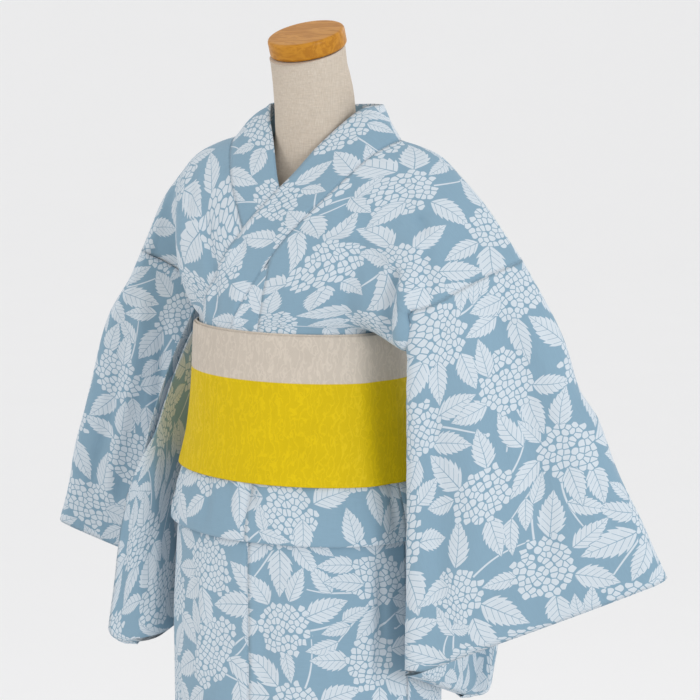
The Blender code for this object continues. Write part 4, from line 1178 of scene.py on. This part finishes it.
def markPrint(piece):
    # each face keeps the motifs that lie nearest to it, for the shader to draw
    mesh = piece.data
    count = len(mesh.polygons)
    flat = np.empty(len(mesh.loops) * 2, np.float32)
    mesh.uv_layers["flat"].data.foreach_get("uv", flat)
    first = np.empty(count, np.int32)
    mesh.polygons.foreach_get("loop_start", first)
    total = np.empty(count, np.int32)
    mesh.polygons.foreach_get("loop_total", total)
    flat = flat.reshape(-1, 2) * 1000
    sums = np.add.reduceat(flat, first, axis=0)
    middle = sums / total[:, None]
    width, height = printCloth["repeat"]
    for kind, rows in printChart.items():
        slots = printCloth["slots"][kind]
        near = np.full((count, slots), 1e9)
        places = np.full((count, slots, 3), -50.0)
        sizes = np.full((count, slots, 3), 0.001)
        for number, row in enumerate(rows):
            u, v, heading, along, across = motifReach(kind, row)
            step = np.round((middle - (u, v)) / (width, height)) * (width, height)
            away = middle - step - (u, v)
            turn = math.radians(heading)
            x = (away[:, 0] * math.cos(turn) + away[:, 1] * math.sin(turn)) / along
            y = (away[:, 1] * math.cos(turn) - away[:, 0] * math.sin(turn)) / across
            far = np.hypot(x, y)
            place = np.array((row[0], row[1], turn * 1000)) / 1000
            place = place + np.concatenate([step, np.zeros((count, 1))], 1) / 1000
            if kind == "head":
                size = (row[2], row[3], (number + 1) * 1000)
            elif kind == "stem":
                size = (row[3], row[4] * 1000, 0)
            else:
                size = (row[3], row[4] * 1000, row[5] * 1000)
            for slot in range(slots):
                closer = (far < near[:, slot]) & (far < printCloth["reach"])
                if not closer.any():
                    continue
                for later in range(slots - 1, slot, -1):
                    near[closer, later] = near[closer, later - 1]
                    places[closer, later] = places[closer, later - 1]
                    sizes[closer, later] = sizes[closer, later - 1]
                near[closer, slot] = far[closer]
                places[closer, slot] = place[closer]
                sizes[closer, slot] = np.array(size) / 1000
                far = np.where(closer, 1e9, far)
        for slot in range(slots):
            for label, values in (("Place", places), ("Size", sizes)):
                kept = mesh.attributes.new(f"{kind}{label}{slot}", "FLOAT_VECTOR", "FACE")
                kept.data.foreach_set("vector", values[:, slot].astype(np.float32).reshape(-1))


def ownPlace(tree, flat, place):
    # a motif's own place: its base at 0 and its heading along x
    at = split(tree, place)
    off = vectorCalc(tree, "SUBTRACT", flat, join(tree, at[0], at[1], 0.0))
    turned = put(tree, "ShaderNodeVectorRotate", rotation_type="Z_AXIS")
    feed(tree, turned.inputs["Vector"], off)
    feed(tree, turned.inputs["Angle"], times(tree, at[2], -1.0))
    return turned.outputs[0]


motifSockets = [("Flat", "Vector"), ("Place", "Vector"), ("Size", "Vector")]
motifResults = [("Cover", "Float"), ("White", "Float")]


def fromBaseToTip(tree, x):
    return times(tree, calc(tree, "GREATER_THAN", x, 0.0), calc(tree, "LESS_THAN", x, 1.0))


def headGroup():
    tree, given, result = newGroup("hydrangeaHead", motifSockets + [("Gap", "Float")], motifResults)
    own = ownPlace(tree, given["Flat"], given["Place"])
    size = split(tree, given["Size"])
    shift = vectorCalc(tree, "SCALE", (7.31, 3.17, 0.0), scale=size[2])
    lattice = vectorCalc(tree, "ADD", vectorCalc(tree, "SCALE", own, scale=1 / printCloth["floret"]), shift)
    cells = {"Vector": lattice, "Scale": 1.0, "Randomness": printCloth["irregular"]}
    middle = put(tree, "ShaderNodeTexVoronoi", cells, voronoi_dimensions="2D", feature="F1")
    edge = put(tree, "ShaderNodeTexVoronoi", cells, voronoi_dimensions="2D", feature="DISTANCE_TO_EDGE")
    centre = vectorCalc(tree, "SUBTRACT", middle.outputs["Position"], shift)
    centre = vectorCalc(tree, "SCALE", centre, scale=printCloth["floret"])
    at = split(tree, centre)
    squares = [calc(tree, "POWER", calc(tree, "DIVIDE", at[i], size[i]), 2.0) for i in (0, 1)]
    far = calc(tree, "SQRT", plus(tree, *squares))
    moved = vectorCalc(tree, "ADD", centre, shift)
    wobble = put(tree, "ShaderNodeTexNoise", {"Vector": moved, "Scale": 45.0, "Detail": 1.0})
    rim = mapTo(tree, wobble.outputs["Fac"], 0.3, 0.7, 0.90, 1.10)
    kept = calc(tree, "LESS_THAN", far, rim)
    clear = mapTo(tree, minus(tree, edge.outputs["Distance"], given["Gap"]), -0.02, 0.02, 0.0, 1.0)
    rounded = mapTo(tree, middle.outputs["Distance"], 0.56, 0.60, 1.0, 0.0)
    feed(tree, result["Cover"], kept)
    feed(tree, result["White"], times(tree, kept, times(tree, clear, rounded)))
    return tree


def leafGroup():
    tree, given, result = newGroup("yukataLeaf", motifSockets, motifResults)
    own = split(tree, ownPlace(tree, given["Flat"], given["Place"]))
    size = split(tree, given["Size"])
    x = calc(tree, "DIVIDE", own[0], size[0])
    bent = times(tree, size[2], times(tree, x, x))
    y = calc(tree, "ABSOLUTE", minus(tree, calc(tree, "DIVIDE", own[1], size[0]), bent))
    curve = put(tree, "ShaderNodeFloatCurve", {"Value": x})
    line = curve.mapping.curves[0]
    for point in printCloth["leafCurve"]:
        line.points.new(*point)
    line.points[0].location = (0, 0)
    line.points[-1].location = (1, 0)
    curve.mapping.update()
    half = times(tree, size[1], curve.outputs[0])
    # saw teeth along the edge, a bare midrib and slanting veins
    tooth = calc(tree, "FRACT", times(tree, minus(tree, x, times(tree, y, 0.55)), 7.0))
    half = times(tree, half, mapTo(tree, tooth, 0.0, 1.0, 0.86, 1.12))
    inside = minus(tree, half, y)
    body = mapTo(tree, inside, -0.004, 0.004, 0.0, 1.0)
    within = fromBaseToTip(tree, x)
    rib = mapTo(tree, minus(tree, y, mapTo(tree, x, 0.0, 1.0, 0.010, 0.004)), -0.003, 0.003, 0.0, 1.0)
    slant = minus(tree, x, times(tree, y, 0.95))
    vein = mapTo(tree, awayFromHalf(tree, times(tree, slant, 7.0)), 0.026, 0.062, 0.0, 1.0)
    short = mapTo(tree, calc(tree, "DIVIDE", y, calc(tree, "MAXIMUM", half, 0.001)), 0.78, 0.84, 0.0, 1.0)
    early = mapTo(tree, slant, 0.86, 0.90, 0.0, 1.0)
    vein = calc(tree, "MAXIMUM", vein, calc(tree, "MAXIMUM", short, early))
    feed(tree, result["Cover"], times(tree, within, mapTo(tree, inside, -0.022, -0.016, 0.0, 1.0)))
    white = times(tree, times(tree, body, within), times(tree, rib, vein))
    feed(tree, result["White"], white)
    return tree


def stemGroup():
    tree, given, result = newGroup("yukataStem", motifSockets, motifResults)
    own = split(tree, ownPlace(tree, given["Flat"], given["Place"]))
    size = split(tree, given["Size"])
    x = calc(tree, "DIVIDE", own[0], calc(tree, "MAXIMUM", size[0], 0.001))
    bent = times(tree, times(tree, size[1], size[0]), times(tree, x, x))
    off = minus(tree, own[1], bent)
    within = fromBaseToTip(tree, x)
    slope = times(tree, times(tree, size[1], x), 2.0)
    thin = calc(tree, "SQRT", plus(tree, 1.0, times(tree, slope, slope)))
    away = calc(tree, "DIVIDE", calc(tree, "ABSOLUTE", off), thin)
    half = mapTo(tree, x, 0.0, 1.0, 0.0011, 0.0006)
    line = times(tree, within, mapTo(tree, minus(tree, half, away), -0.0002, 0.0002, 0.0, 1.0))
    tip = join(tree, size[0], times(tree, size[1], size[0]), 0.0)
    bud = vectorCalc(tree, "LENGTH", vectorCalc(tree, "SUBTRACT", join(tree, own[0], own[1], 0.0), tip))
    bud = mapTo(tree, bud, 0.0020, 0.0024, 1.0, 0.0)
    white = calc(tree, "MAXIMUM", line, bud)
    wide = times(tree, within, calc(tree, "LESS_THAN", away, plus(tree, half, 0.0006)))
    feed(tree, result["Cover"], calc(tree, "MAXIMUM", wide, bud))
    feed(tree, result["White"], times(tree, white, calc(tree, "GREATER_THAN", size[0], 0.002)))
    return tree


def weaveGroup():
    # plain weave: threads over and under, with slubs
    sockets = [("Flat", "Vector"), ("Thread", "Float"), ("Slub", "Float")]
    tree, given, result = newGroup("plainWeave", sockets, [("Height", "Float"), ("Tone", "Float")])
    at = split(tree, given["Flat"])
    pitch = calc(tree, "DIVIDE", 2 * math.pi, given["Thread"])
    uneven = noise(tree, given["Flat"], (60.0, 900.0, 1.0), 2.0)
    warp = calc(tree, "SINE", times(tree, at[0], pitch))
    weft = calc(tree, "SINE", times(tree, at[1], pitch))
    crossed = times(tree, warp, weft)
    slub = times(tree, minus(tree, uneven, 0.5), given["Slub"])
    feed(tree, result["Height"], plus(tree, times(tree, crossed, 0.5), slub))
    feed(tree, result["Tone"], plus(tree, 1.0, times(tree, slub, 0.1)))
    return tree


def wearGroup():
    # soft uneven colour, as cloth has after washing and pressing
    sockets = [("Place", "Vector"), ("Size", "Float"), ("Depth", "Float")]
    tree, given, result = newGroup("softWear", sockets, [("Tone", "Float"), ("Rough", "Float")])
    inputs = {"Vector": given["Place"], "Scale": given["Size"], "Detail": 5.0, "Roughness": 0.6}
    broad = put(tree, "ShaderNodeTexNoise", inputs)
    off = times(tree, minus(tree, broad.outputs["Fac"], 0.5), given["Depth"])
    feed(tree, result["Tone"], plus(tree, 1.0, off))
    feed(tree, result["Rough"], times(tree, off, -0.6))
    return tree


def seamGroup():
    # a shut valley, stitches beside it, small puckers and the ridge of the turned edge behind
    tree, given, result = newGroup("seamWork", [("Edge", "Vector")], [("Height", "Float"), ("Tone", "Float")])
    edge = split(tree, given["Edge"])
    valley = mapTo(tree, edge[0], 0.0, 0.0030, -0.7, 0.0)
    crumple = noise(tree, given["Edge"], (60.0, 150.0, 0.0), 2.0)
    pucker = times(tree, minus(tree, crumple, 0.5), mapTo(tree, edge[0], 0.001, 0.014, 1.8, 0.0))
    row = mapTo(tree, calc(tree, "ABSOLUTE", minus(tree, edge[0], 0.0017)), 0.0002, 0.0005, 1.0, 0.0)
    dash = calc(tree, "GREATER_THAN", calc(tree, "FRACT", calc(tree, "DIVIDE", edge[1], 0.0048)), 0.5)
    stitch = times(tree, row, dash)
    ridge = mapTo(tree, edge[0], 0.0094, 0.0104, 0.35, 0.0)
    height = plus(tree, plus(tree, valley, pucker), plus(tree, times(tree, stitch, 0.5), ridge))
    feed(tree, result["Height"], height)
    feed(tree, result["Tone"], mapTo(tree, stitch, 0.0, 1.0, 1.0, 0.88))
    return tree


def rumpleGroup():
    # the soft unevenness of cloth that has been worn, longer down than across
    tree, given, result = newGroup("softRumple", [("Place", "Vector")], [("Height", "Float")])
    broad = noise(tree, given["Place"], (34.0, 34.0, 13.0), 2.0)
    fine = noise(tree, given["Place"], (140.0, 140.0, 50.0), 1.0)
    feed(tree, result["Height"], plus(tree, times(tree, broad, 9.0), fine))
    return tree


groups = {
    "head": headGroup(),
    "leaf": leafGroup(),
    "stem": stemGroup(),
    "weave": weaveGroup(),
    "wear": wearGroup(),
    "seam": seamGroup(),
    "rumple": rumpleGroup(),
}


def cottonMaterial():
    made, tree, shader = newMaterial("printedCotton")
    flat = flatPlace(tree)
    white = None
    for kind, groupName in (("stem", "stem"), ("leaf", "leaf"), ("head", "head"), ("topLeaf", "leaf")):
        for slot in reversed(range(printCloth["slots"][kind])):
            inputs = {"Flat": flat}
            for label in ("Place", "Size"):
                kept = put(tree, "ShaderNodeAttribute", attribute_name=f"{kind}{label}{slot}")
                inputs[label] = kept.outputs["Vector"]
            if kind == "head":
                inputs["Gap"] = printCloth["gap"]
            drawn = useGroup(tree, groups[groupName], inputs)
            if white is None:
                white = drawn["White"]
            else:
                bare = minus(tree, 1.0, drawn["Cover"])
                white = calc(tree, "MAXIMUM", times(tree, white, bare), drawn["White"])
    weave = useGroup(tree, groups["weave"], {"Flat": flat, **printCloth["weave"]})
    wear = useGroup(tree, groups["wear"], {"Place": objectPlace(tree), **printCloth["wear"]})
    colour = mixColour(tree, white, (*printCloth["blue"], 1), (*printCloth["white"], 1))
    edge = put(tree, "ShaderNodeUVMap", uv_map="edge").outputs["UV"]
    seam = useGroup(tree, groups["seam"], {"Edge": edge})
    rumple = useGroup(tree, groups["rumple"], {"Place": objectPlace(tree)})
    tone = times(tree, times(tree, weave["Tone"], seam["Tone"]), wear["Tone"])
    feed(tree, shader.inputs["Base Color"], vectorCalc(tree, "SCALE", colour, scale=tone))
    feed(tree, shader.inputs["Roughness"], plus(tree, printCloth["rough"], wear["Rough"]))
    setSockets(shader, printCloth["finish"])
    relief = plus(tree, times(tree, weave["Height"], 0.35), plus(tree, seam["Height"], rumple["Height"]))
    addBump(tree, shader, relief, *printCloth["bump"])
    return made


cotton = cottonMaterial()
print("print and weave ready")


obi = {
    "top": 1.122,
    "bottom": 0.957,
    "ivoryFrom": 1.070,
    "wall": 0.0012,
    "underUp": 0.002,  # how far the first turn shows above the second
    "bandOut": 0.0021,  # from the first turn to the second
    "flatEdge": 0.006,  # width of the pressed edges
    "ivory": (0.60, 0.53, 0.45),
    "yellow": (0.68, 0.49, 0.004),
    "foldCentre": (0.0, 0.1475, 1.045),
    "lean": 0.076,  # the knot lies along the slope of the back
    "fold": (0.105, 0.0185, 0.060),
    "knot": (0.066, 0.022, 0.030),
    "roundness": {"z": 0.80, "x": 0.36},
    "pinch": 0.10,  # how far the knot draws the loop together
    "flatStart": (0.02, 0.14),
    "wear": {"Size": 40.0, "Depth": 0.16},
    "finish": {"Specular IOR Level": 0.12},
    "bump": (0.5, 0.0004),
}


def obiWrap(out, up):
    bottom, top = obi["bottom"] + up, obi["top"] + up
    angles = np.linspace(-180, 180, 181)
    rim = np.array([0.0, 0.0015, 0.004])
    middle = np.linspace(top - 0.010, bottom + 0.010, 26)
    grid = []
    for height in np.concatenate([top - rim, middle, bottom + rim[::-1]]):
        inside = min(top - height, height - bottom)
        edge = max(0.0, 1 - inside / obi["flatEdge"])
        swell = 0.0006 * np.sin(3 * np.radians(angles) + 9 * height) * ease(inside, 0.0, 0.02)
        grid.append(obiRing(angles, height, out - 0.0005 * edge**2 + swell))
    grid = np.array(grid)
    cloth = Cloth(loose=False)
    cloth.addGrid(grid, layFlat(grid, 90, 1), True)
    return cloth


def obiLoop(size, axis):
    # a flat loop of the obi, standing on the back, with round turns at its ends
    across, out, level = size
    corner = obi["roundness"][axis] * out
    arcs = []
    for sx, sy, first in ((1, 1, 0), (-1, 1, 90), (-1, -1, 180), (1, -1, 270)):
        turns = np.radians(np.linspace(first, first + 90, 9))
        middle = np.array([sx * (across - corner), sy * (out - corner)])
        arcs.append(middle + corner * np.stack([np.cos(turns), np.sin(turns)], -1))
    runs = []
    for arc, after in zip(arcs, arcs[1:] + arcs[:1]):
        straight = np.linspace(0, 1, 18)[1:-1, None]
        runs += [arc, arc[-1] + (after[0] - arc[-1]) * straight]
    outline = np.concatenate(runs + [arcs[0][:1]])
    grid = []
    for place in np.linspace(-level, level, 24):
        share = place / level
        pinch = 1 - obi["pinch"] * (1 - share**2) * (axis == "z")
        x, y = outline[:, 0], outline[:, 1] * pinch
        z = np.full_like(x, place)
        offset = np.stack([x, y, z], -1) if axis == "z" else np.stack([z, y, x], -1)
        offset[:, 1] -= obi["lean"] * offset[:, 2]
        grid.append(np.array(obi["foldCentre"]) + offset)
    grid = np.array(grid)
    cloth = Cloth(loose=False)
    cloth.addGrid(grid, layFlat(grid, 0, 1, obi["flatStart"]), axis == "x")
    return cloth


def jacquardGroup():
    # upright scrolls and fine ribs, woven in the same colour as the ground
    results = [("Height", "Float"), ("Figure", "Float")]
    tree, given, result = newGroup("scrollJacquard", [("Flat", "Vector")], results)
    at = split(tree, given["Flat"])
    wander = noise(tree, given["Flat"], (62.0, 36.0, 0.0), 3.0, Roughness=0.6)
    sway = times(tree, minus(tree, wander, 0.5), 4.2)
    wave = times(tree, calc(tree, "SINE", times(tree, at[1], 2 * math.pi / 0.055)), 0.22)
    upright = plus(tree, calc(tree, "DIVIDE", at[0], 0.0090), plus(tree, wave, sway))
    stem = mapTo(tree, awayFromHalf(tree, upright), 0.06, 0.20, 1.0, 0.0)
    stretched = vectorCalc(tree, "MULTIPLY", given["Flat"], (75.0, 48.0, 0.0))
    inputs = {"Vector": stretched, "Scale": 1.0, "Randomness": 0.85}
    cells = put(tree, "ShaderNodeTexVoronoi", inputs, voronoi_dimensions="2D", feature="F1")
    off = cells.outputs["Distance"]
    curl = awayFromHalf(tree, plus(tree, times(tree, off, 3.4), sway))
    curl = times(tree, mapTo(tree, curl, 0.10, 0.20, 1.0, 0.0), mapTo(tree, off, 0.36, 0.42, 1.0, 0.0))
    figure = calc(tree, "MAXIMUM", stem, curl)
    rib = calc(tree, "SINE", times(tree, at[1], 2 * math.pi / 0.0011))
    grain = calc(tree, "SINE", times(tree, at[0], 2 * math.pi / 0.0009))
    plain = times(tree, rib, minus(tree, 1.0, times(tree, figure, 0.7)))
    threads = plus(tree, times(tree, plain, 0.22), times(tree, grain, 0.08))
    feed(tree, result["Height"], plus(tree, figure, threads))
    feed(tree, result["Figure"], figure)
    return tree


groups["jacquard"] = jacquardGroup()


def obiMaterial(name, colour=None):
    # in one colour, or yellow below and ivory above
    made, tree, shader = newMaterial(name)
    woven = useGroup(tree, groups["jacquard"], {"Flat": flatPlace(tree)})
    wear = useGroup(tree, groups["wear"], {"Place": objectPlace(tree), **obi["wear"]})
    if colour is None:
        height = split(tree, objectPlace(tree))[2]
        share = mapTo(tree, height, obi["ivoryFrom"] - 0.0003, obi["ivoryFrom"] + 0.0003, 0.0, 1.0)
        colour = mixColour(tree, share, (*obi["yellow"], 1), (*obi["ivory"], 1))
    figured = mapTo(tree, woven["Figure"], 0.0, 1.0, 0.955, 1.055)
    tone = times(tree, figured, wear["Tone"])
    feed(tree, shader.inputs["Base Color"], vectorCalc(tree, "SCALE", colour, scale=tone))
    feed(tree, shader.inputs["Roughness"], mapTo(tree, woven["Figure"], 0.0, 1.0, 0.62, 0.46))
    setSockets(shader, obi["finish"])
    addBump(tree, shader, woven["Height"], *obi["bump"])
    return made


form = {
    "torso": (
        # height, half width, half depth, back
        (0.720, 0.105, 0.080, 0.013), (0.735, 0.128, 0.098, 0.013), (0.80, 0.148, 0.115, 0.013),
        (0.88, 0.146, 0.113, 0.013), (0.94, 0.132, 0.101, 0.013), (1.00, 0.120, 0.092, 0.013),
        (1.06, 0.112, 0.086, 0.013), (1.13, 0.116, 0.083, 0.013), (1.20, 0.126, 0.074, 0.020),
        (1.25, 0.130, 0.060, 0.028), (1.28, 0.120, 0.050, 0.036), (1.30, 0.090, 0.040, 0.034),
        (1.315, 0.062, 0.039, 0.034), (1.33, 0.050, 0.040, 0.034), (1.355, 0.0475, 0.0430, 0.033),
        (1.385, 0.0455, 0.0450, 0.029), (1.425, 0.0425, 0.0425, 0.017),
    ),
    "slant": 19.0,
    "capHeight": 0.020,
    "capRadius": 0.044,
    "capCentre": (0.0, 0.017, 1.440),
    "capEdge": 0.0048,
    "linen": (0.60, 0.51, 0.41),
    "linenPale": (0.60, 0.53, 0.45),
    "woodLight": (0.56, 0.245, 0.022),
    "woodDark": (0.42, 0.165, 0.013),
    "steel": (0.36, 0.36, 0.37),
}


def buildTorso():
    rows = form["torso"]
    hips, chest = np.linspace(rows[0][0], rows[1][0], 5), np.arange(0.75, 1.25, 0.02)
    shoulders, neck = np.linspace(1.25, 1.33, 17), np.arange(1.34, 1.424, 0.0125)
    heights = np.unique(np.concatenate([hips, chest, shoulders, neck, [rows[-1][0]]]))
    shape = np.stack([fromTable(rows, heights, i) for i in (1, 2, 3)], -1)
    deselectAll()
    width, depth, back = shape[0]
    foot = (0, back, heights[0])
    bpy.ops.mesh.primitive_circle_add(vertices=72, radius=width, fill_type="NGON", location=foot)
    piece = bpy.context.object
    piece.name = "formTorso"
    bpy.ops.object.transform_apply(location=True, rotation=True, scale=True)
    setMode("EDIT")
    bpy.ops.mesh.select_all(action="SELECT")
    bpy.ops.transform.resize(value=(1, depth / width, 1), center_override=foot)
    for (w0, d0, b0), (w1, d1, b1), low, high in zip(shape, shape[1:], heights, heights[1:]):
        extrudeBy(0, b1 - b0, high - low)
        bpy.ops.transform.resize(value=(w1 / w0, d1 / d0, 1), center_override=(0, b1, high))
    bpy.ops.mesh.normals_make_consistent(inside=False)
    setMode("OBJECT")
    slant = math.radians(form["slant"])
    centre = form["capCentre"]
    cut = centre[2] - (form["capHeight"] / 2 + 0.0005) / math.cos(slant)
    for vertex in piece.data.vertices:
        if vertex.co.z > heights[-1] - 0.0005:
            vertex.co.z = cut + (vertex.co.y - centre[1]) * math.tan(slant)
    bpy.ops.object.shade_smooth_by_angle(angle=math.radians(50))
    return piece


def buildCap():
    deselectAll()
    bpy.ops.mesh.primitive_cylinder_add(vertices=96, radius=form["capRadius"], depth=form["capHeight"])
    piece = bpy.context.object
    piece.name = "formCap"
    setMode("EDIT")
    bpy.ops.mesh.select_mode(type="FACE")
    bpy.ops.mesh.select_all(action="DESELECT")
    setMode("OBJECT")
    for face in piece.data.polygons:
        face.select = abs(face.normal.z) > 0.9
    setMode("EDIT")
    bpy.ops.mesh.bevel(offset=form["capEdge"], segments=6, profile=0.62)
    setMode("OBJECT")
    for face in piece.data.polygons:
        face.select = abs(face.normal.z) > 0.99 and len(face.vertices) > 20
    setMode("EDIT")
    bpy.ops.mesh.inset(thickness=0.010, depth=0.0)
    bpy.ops.mesh.inset(thickness=0.012, depth=0.0)
    setMode("OBJECT")
    piece.rotation_euler = (math.radians(form["slant"]), 0, 0)
    piece.location = form["capCentre"]
    bpy.ops.object.transform_apply(location=True, rotation=True, scale=True)
    bpy.ops.object.shade_smooth_by_angle(angle=math.radians(30))
    return piece


def linenMaterial():
    made, tree, shader = newMaterial("formLinen")
    place = objectPlace(tree)
    across = noise(tree, place, (120.0, 120.0, 1500.0), 2.0)
    along = noise(tree, place, (1300.0, 1300.0, 90.0), 2.0)
    threads = plus(tree, across, along)
    wear = useGroup(tree, groups["wear"], {"Place": place, "Size": 16.0, "Depth": 0.16})
    tone = times(tree, mapTo(tree, threads, 0.6, 1.4, 0.84, 1.12), wear["Tone"])
    share = mapTo(tree, along, 0.35, 0.7, 0.0, 1.0)
    colour = mixColour(tree, share, (*form["linen"], 1), (*form["linenPale"], 1))
    feed(tree, shader.inputs["Base Color"], vectorCalc(tree, "SCALE", colour, scale=tone))
    feed(tree, shader.inputs["Roughness"], plus(tree, 0.88, wear["Rough"]))
    setSockets(shader, {"Specular IOR Level": 0.25})
    addBump(tree, shader, threads, 0.5, 0.0004)
    return made


def woodMaterial():
    made, tree, shader = newMaterial("capWood")
    place = objectPlace(tree)
    warp = noise(tree, place, (14.0, 90.0, 60.0), 4.0, Roughness=0.6, Distortion=0.8)
    fine = noise(tree, place, (60.0, 900.0, 700.0), 3.0)
    rings = calc(tree, "SINE", times(tree, warp, 26.0))
    grain = mapTo(tree, plus(tree, rings, fine), -0.8, 1.6, 0.0, 1.0)
    wear = useGroup(tree, groups["wear"], {"Place": place, "Size": 30.0, "Depth": 0.12})
    colour = mixColour(tree, grain, (*form["woodDark"], 1), (*form["woodLight"], 1))
    feed(tree, shader.inputs["Base Color"], vectorCalc(tree, "SCALE", colour, scale=wear["Tone"]))
    feed(tree, shader.inputs["Roughness"], mapTo(tree, grain, 0.0, 1.0, 0.42, 0.34))
    setSockets(shader, {"Specular IOR Level": 0.16, "Coat Weight": 0.07, "Coat Roughness": 0.15})
    addBump(tree, shader, fine, 0.08, 0.0002)
    return made


def steelMaterial():
    made, tree, shader = newMaterial("brushedSteel")
    place = objectPlace(tree)
    brushed = noise(tree, place, (700.0, 700.0, 40.0), 3.0)
    wear = useGroup(tree, groups["wear"], {"Place": place, "Size": 12.0, "Depth": 0.2})
    tone = times(tree, mapTo(tree, brushed, 0.3, 0.7, 0.9, 1.08), wear["Tone"])
    feed(tree, shader.inputs["Base Color"], vectorCalc(tree, "SCALE", form["steel"], scale=tone))
    feed(tree, shader.inputs["Roughness"], mapTo(tree, brushed, 0.3, 0.7, 0.30, 0.42))
    setSockets(shader, {"Metallic": 0.9})
    addBump(tree, shader, brushed, 0.1, 0.0002)
    return made


def finishPiece(piece, node, materials):
    for material in materials:
        piece.data.materials.append(material)
    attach(piece, "root")
    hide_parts(node)


def addCloth(name, cloth, node, wall):
    piece = cloth.make(name, wall)
    markPrint(piece)
    finishPiece(piece, node, [cotton])
    return piece


for side, word in ((1, "left"), (-1, "right")):
    addCloth(word + "BodyWidth", bodyWidth(side), "body_" + word, robe["wall"])
    addCloth(word + "Overlap", overlap(side), "okumi_" + word, robe["wall"])
    cloth = sleeveCloth(side)
    addCloth(word + "Sleeve", cloth, "sleeve_" + word, robe["wall"])
addCloth("neckband", collarBand(), "collar", neckband["wall"])
print("robe sewn")

ivoryCloth = obiMaterial("obiIvory", obi["ivory"])
bandCloth = obiMaterial("obiTwoTone")
yellowCloth = obiMaterial("obiYellow", obi["yellow"])
for name, cloth, node, material, flat in (
    ("obiUnderWrap", obiWrap(0.0, obi["underUp"]), "obi_inner_wrap", ivoryCloth, (0.165, 0.85)),
    ("obiBand", obiWrap(obi["bandOut"], 0.0), "obi_outer_wrap", bandCloth, (0.165, 0.87)),
    ("obiFold", obiLoop(obi["fold"], "z"), "obi_fold", yellowCloth, (0.12, 0.48)),
    ("obiKnot", obiLoop(obi["knot"], "x"), "obi_knot", yellowCloth, (0.06, 0.36)),
):
    piece = cloth.make(name, obi["wall"])
    finishPiece(piece, node, [material])
print("obi tied")

torso = buildTorso()
finishPiece(torso, "form_torso", [linenMaterial()])
cap = buildCap()
finishPiece(cap, "form_cap", [woodMaterial()])
steel = steelMaterial()
for node in ("form_pole", "form_base"):
    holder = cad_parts[node]
    for slot in holder.material_slots:
        slot.material = steel
print("form and stand ready")
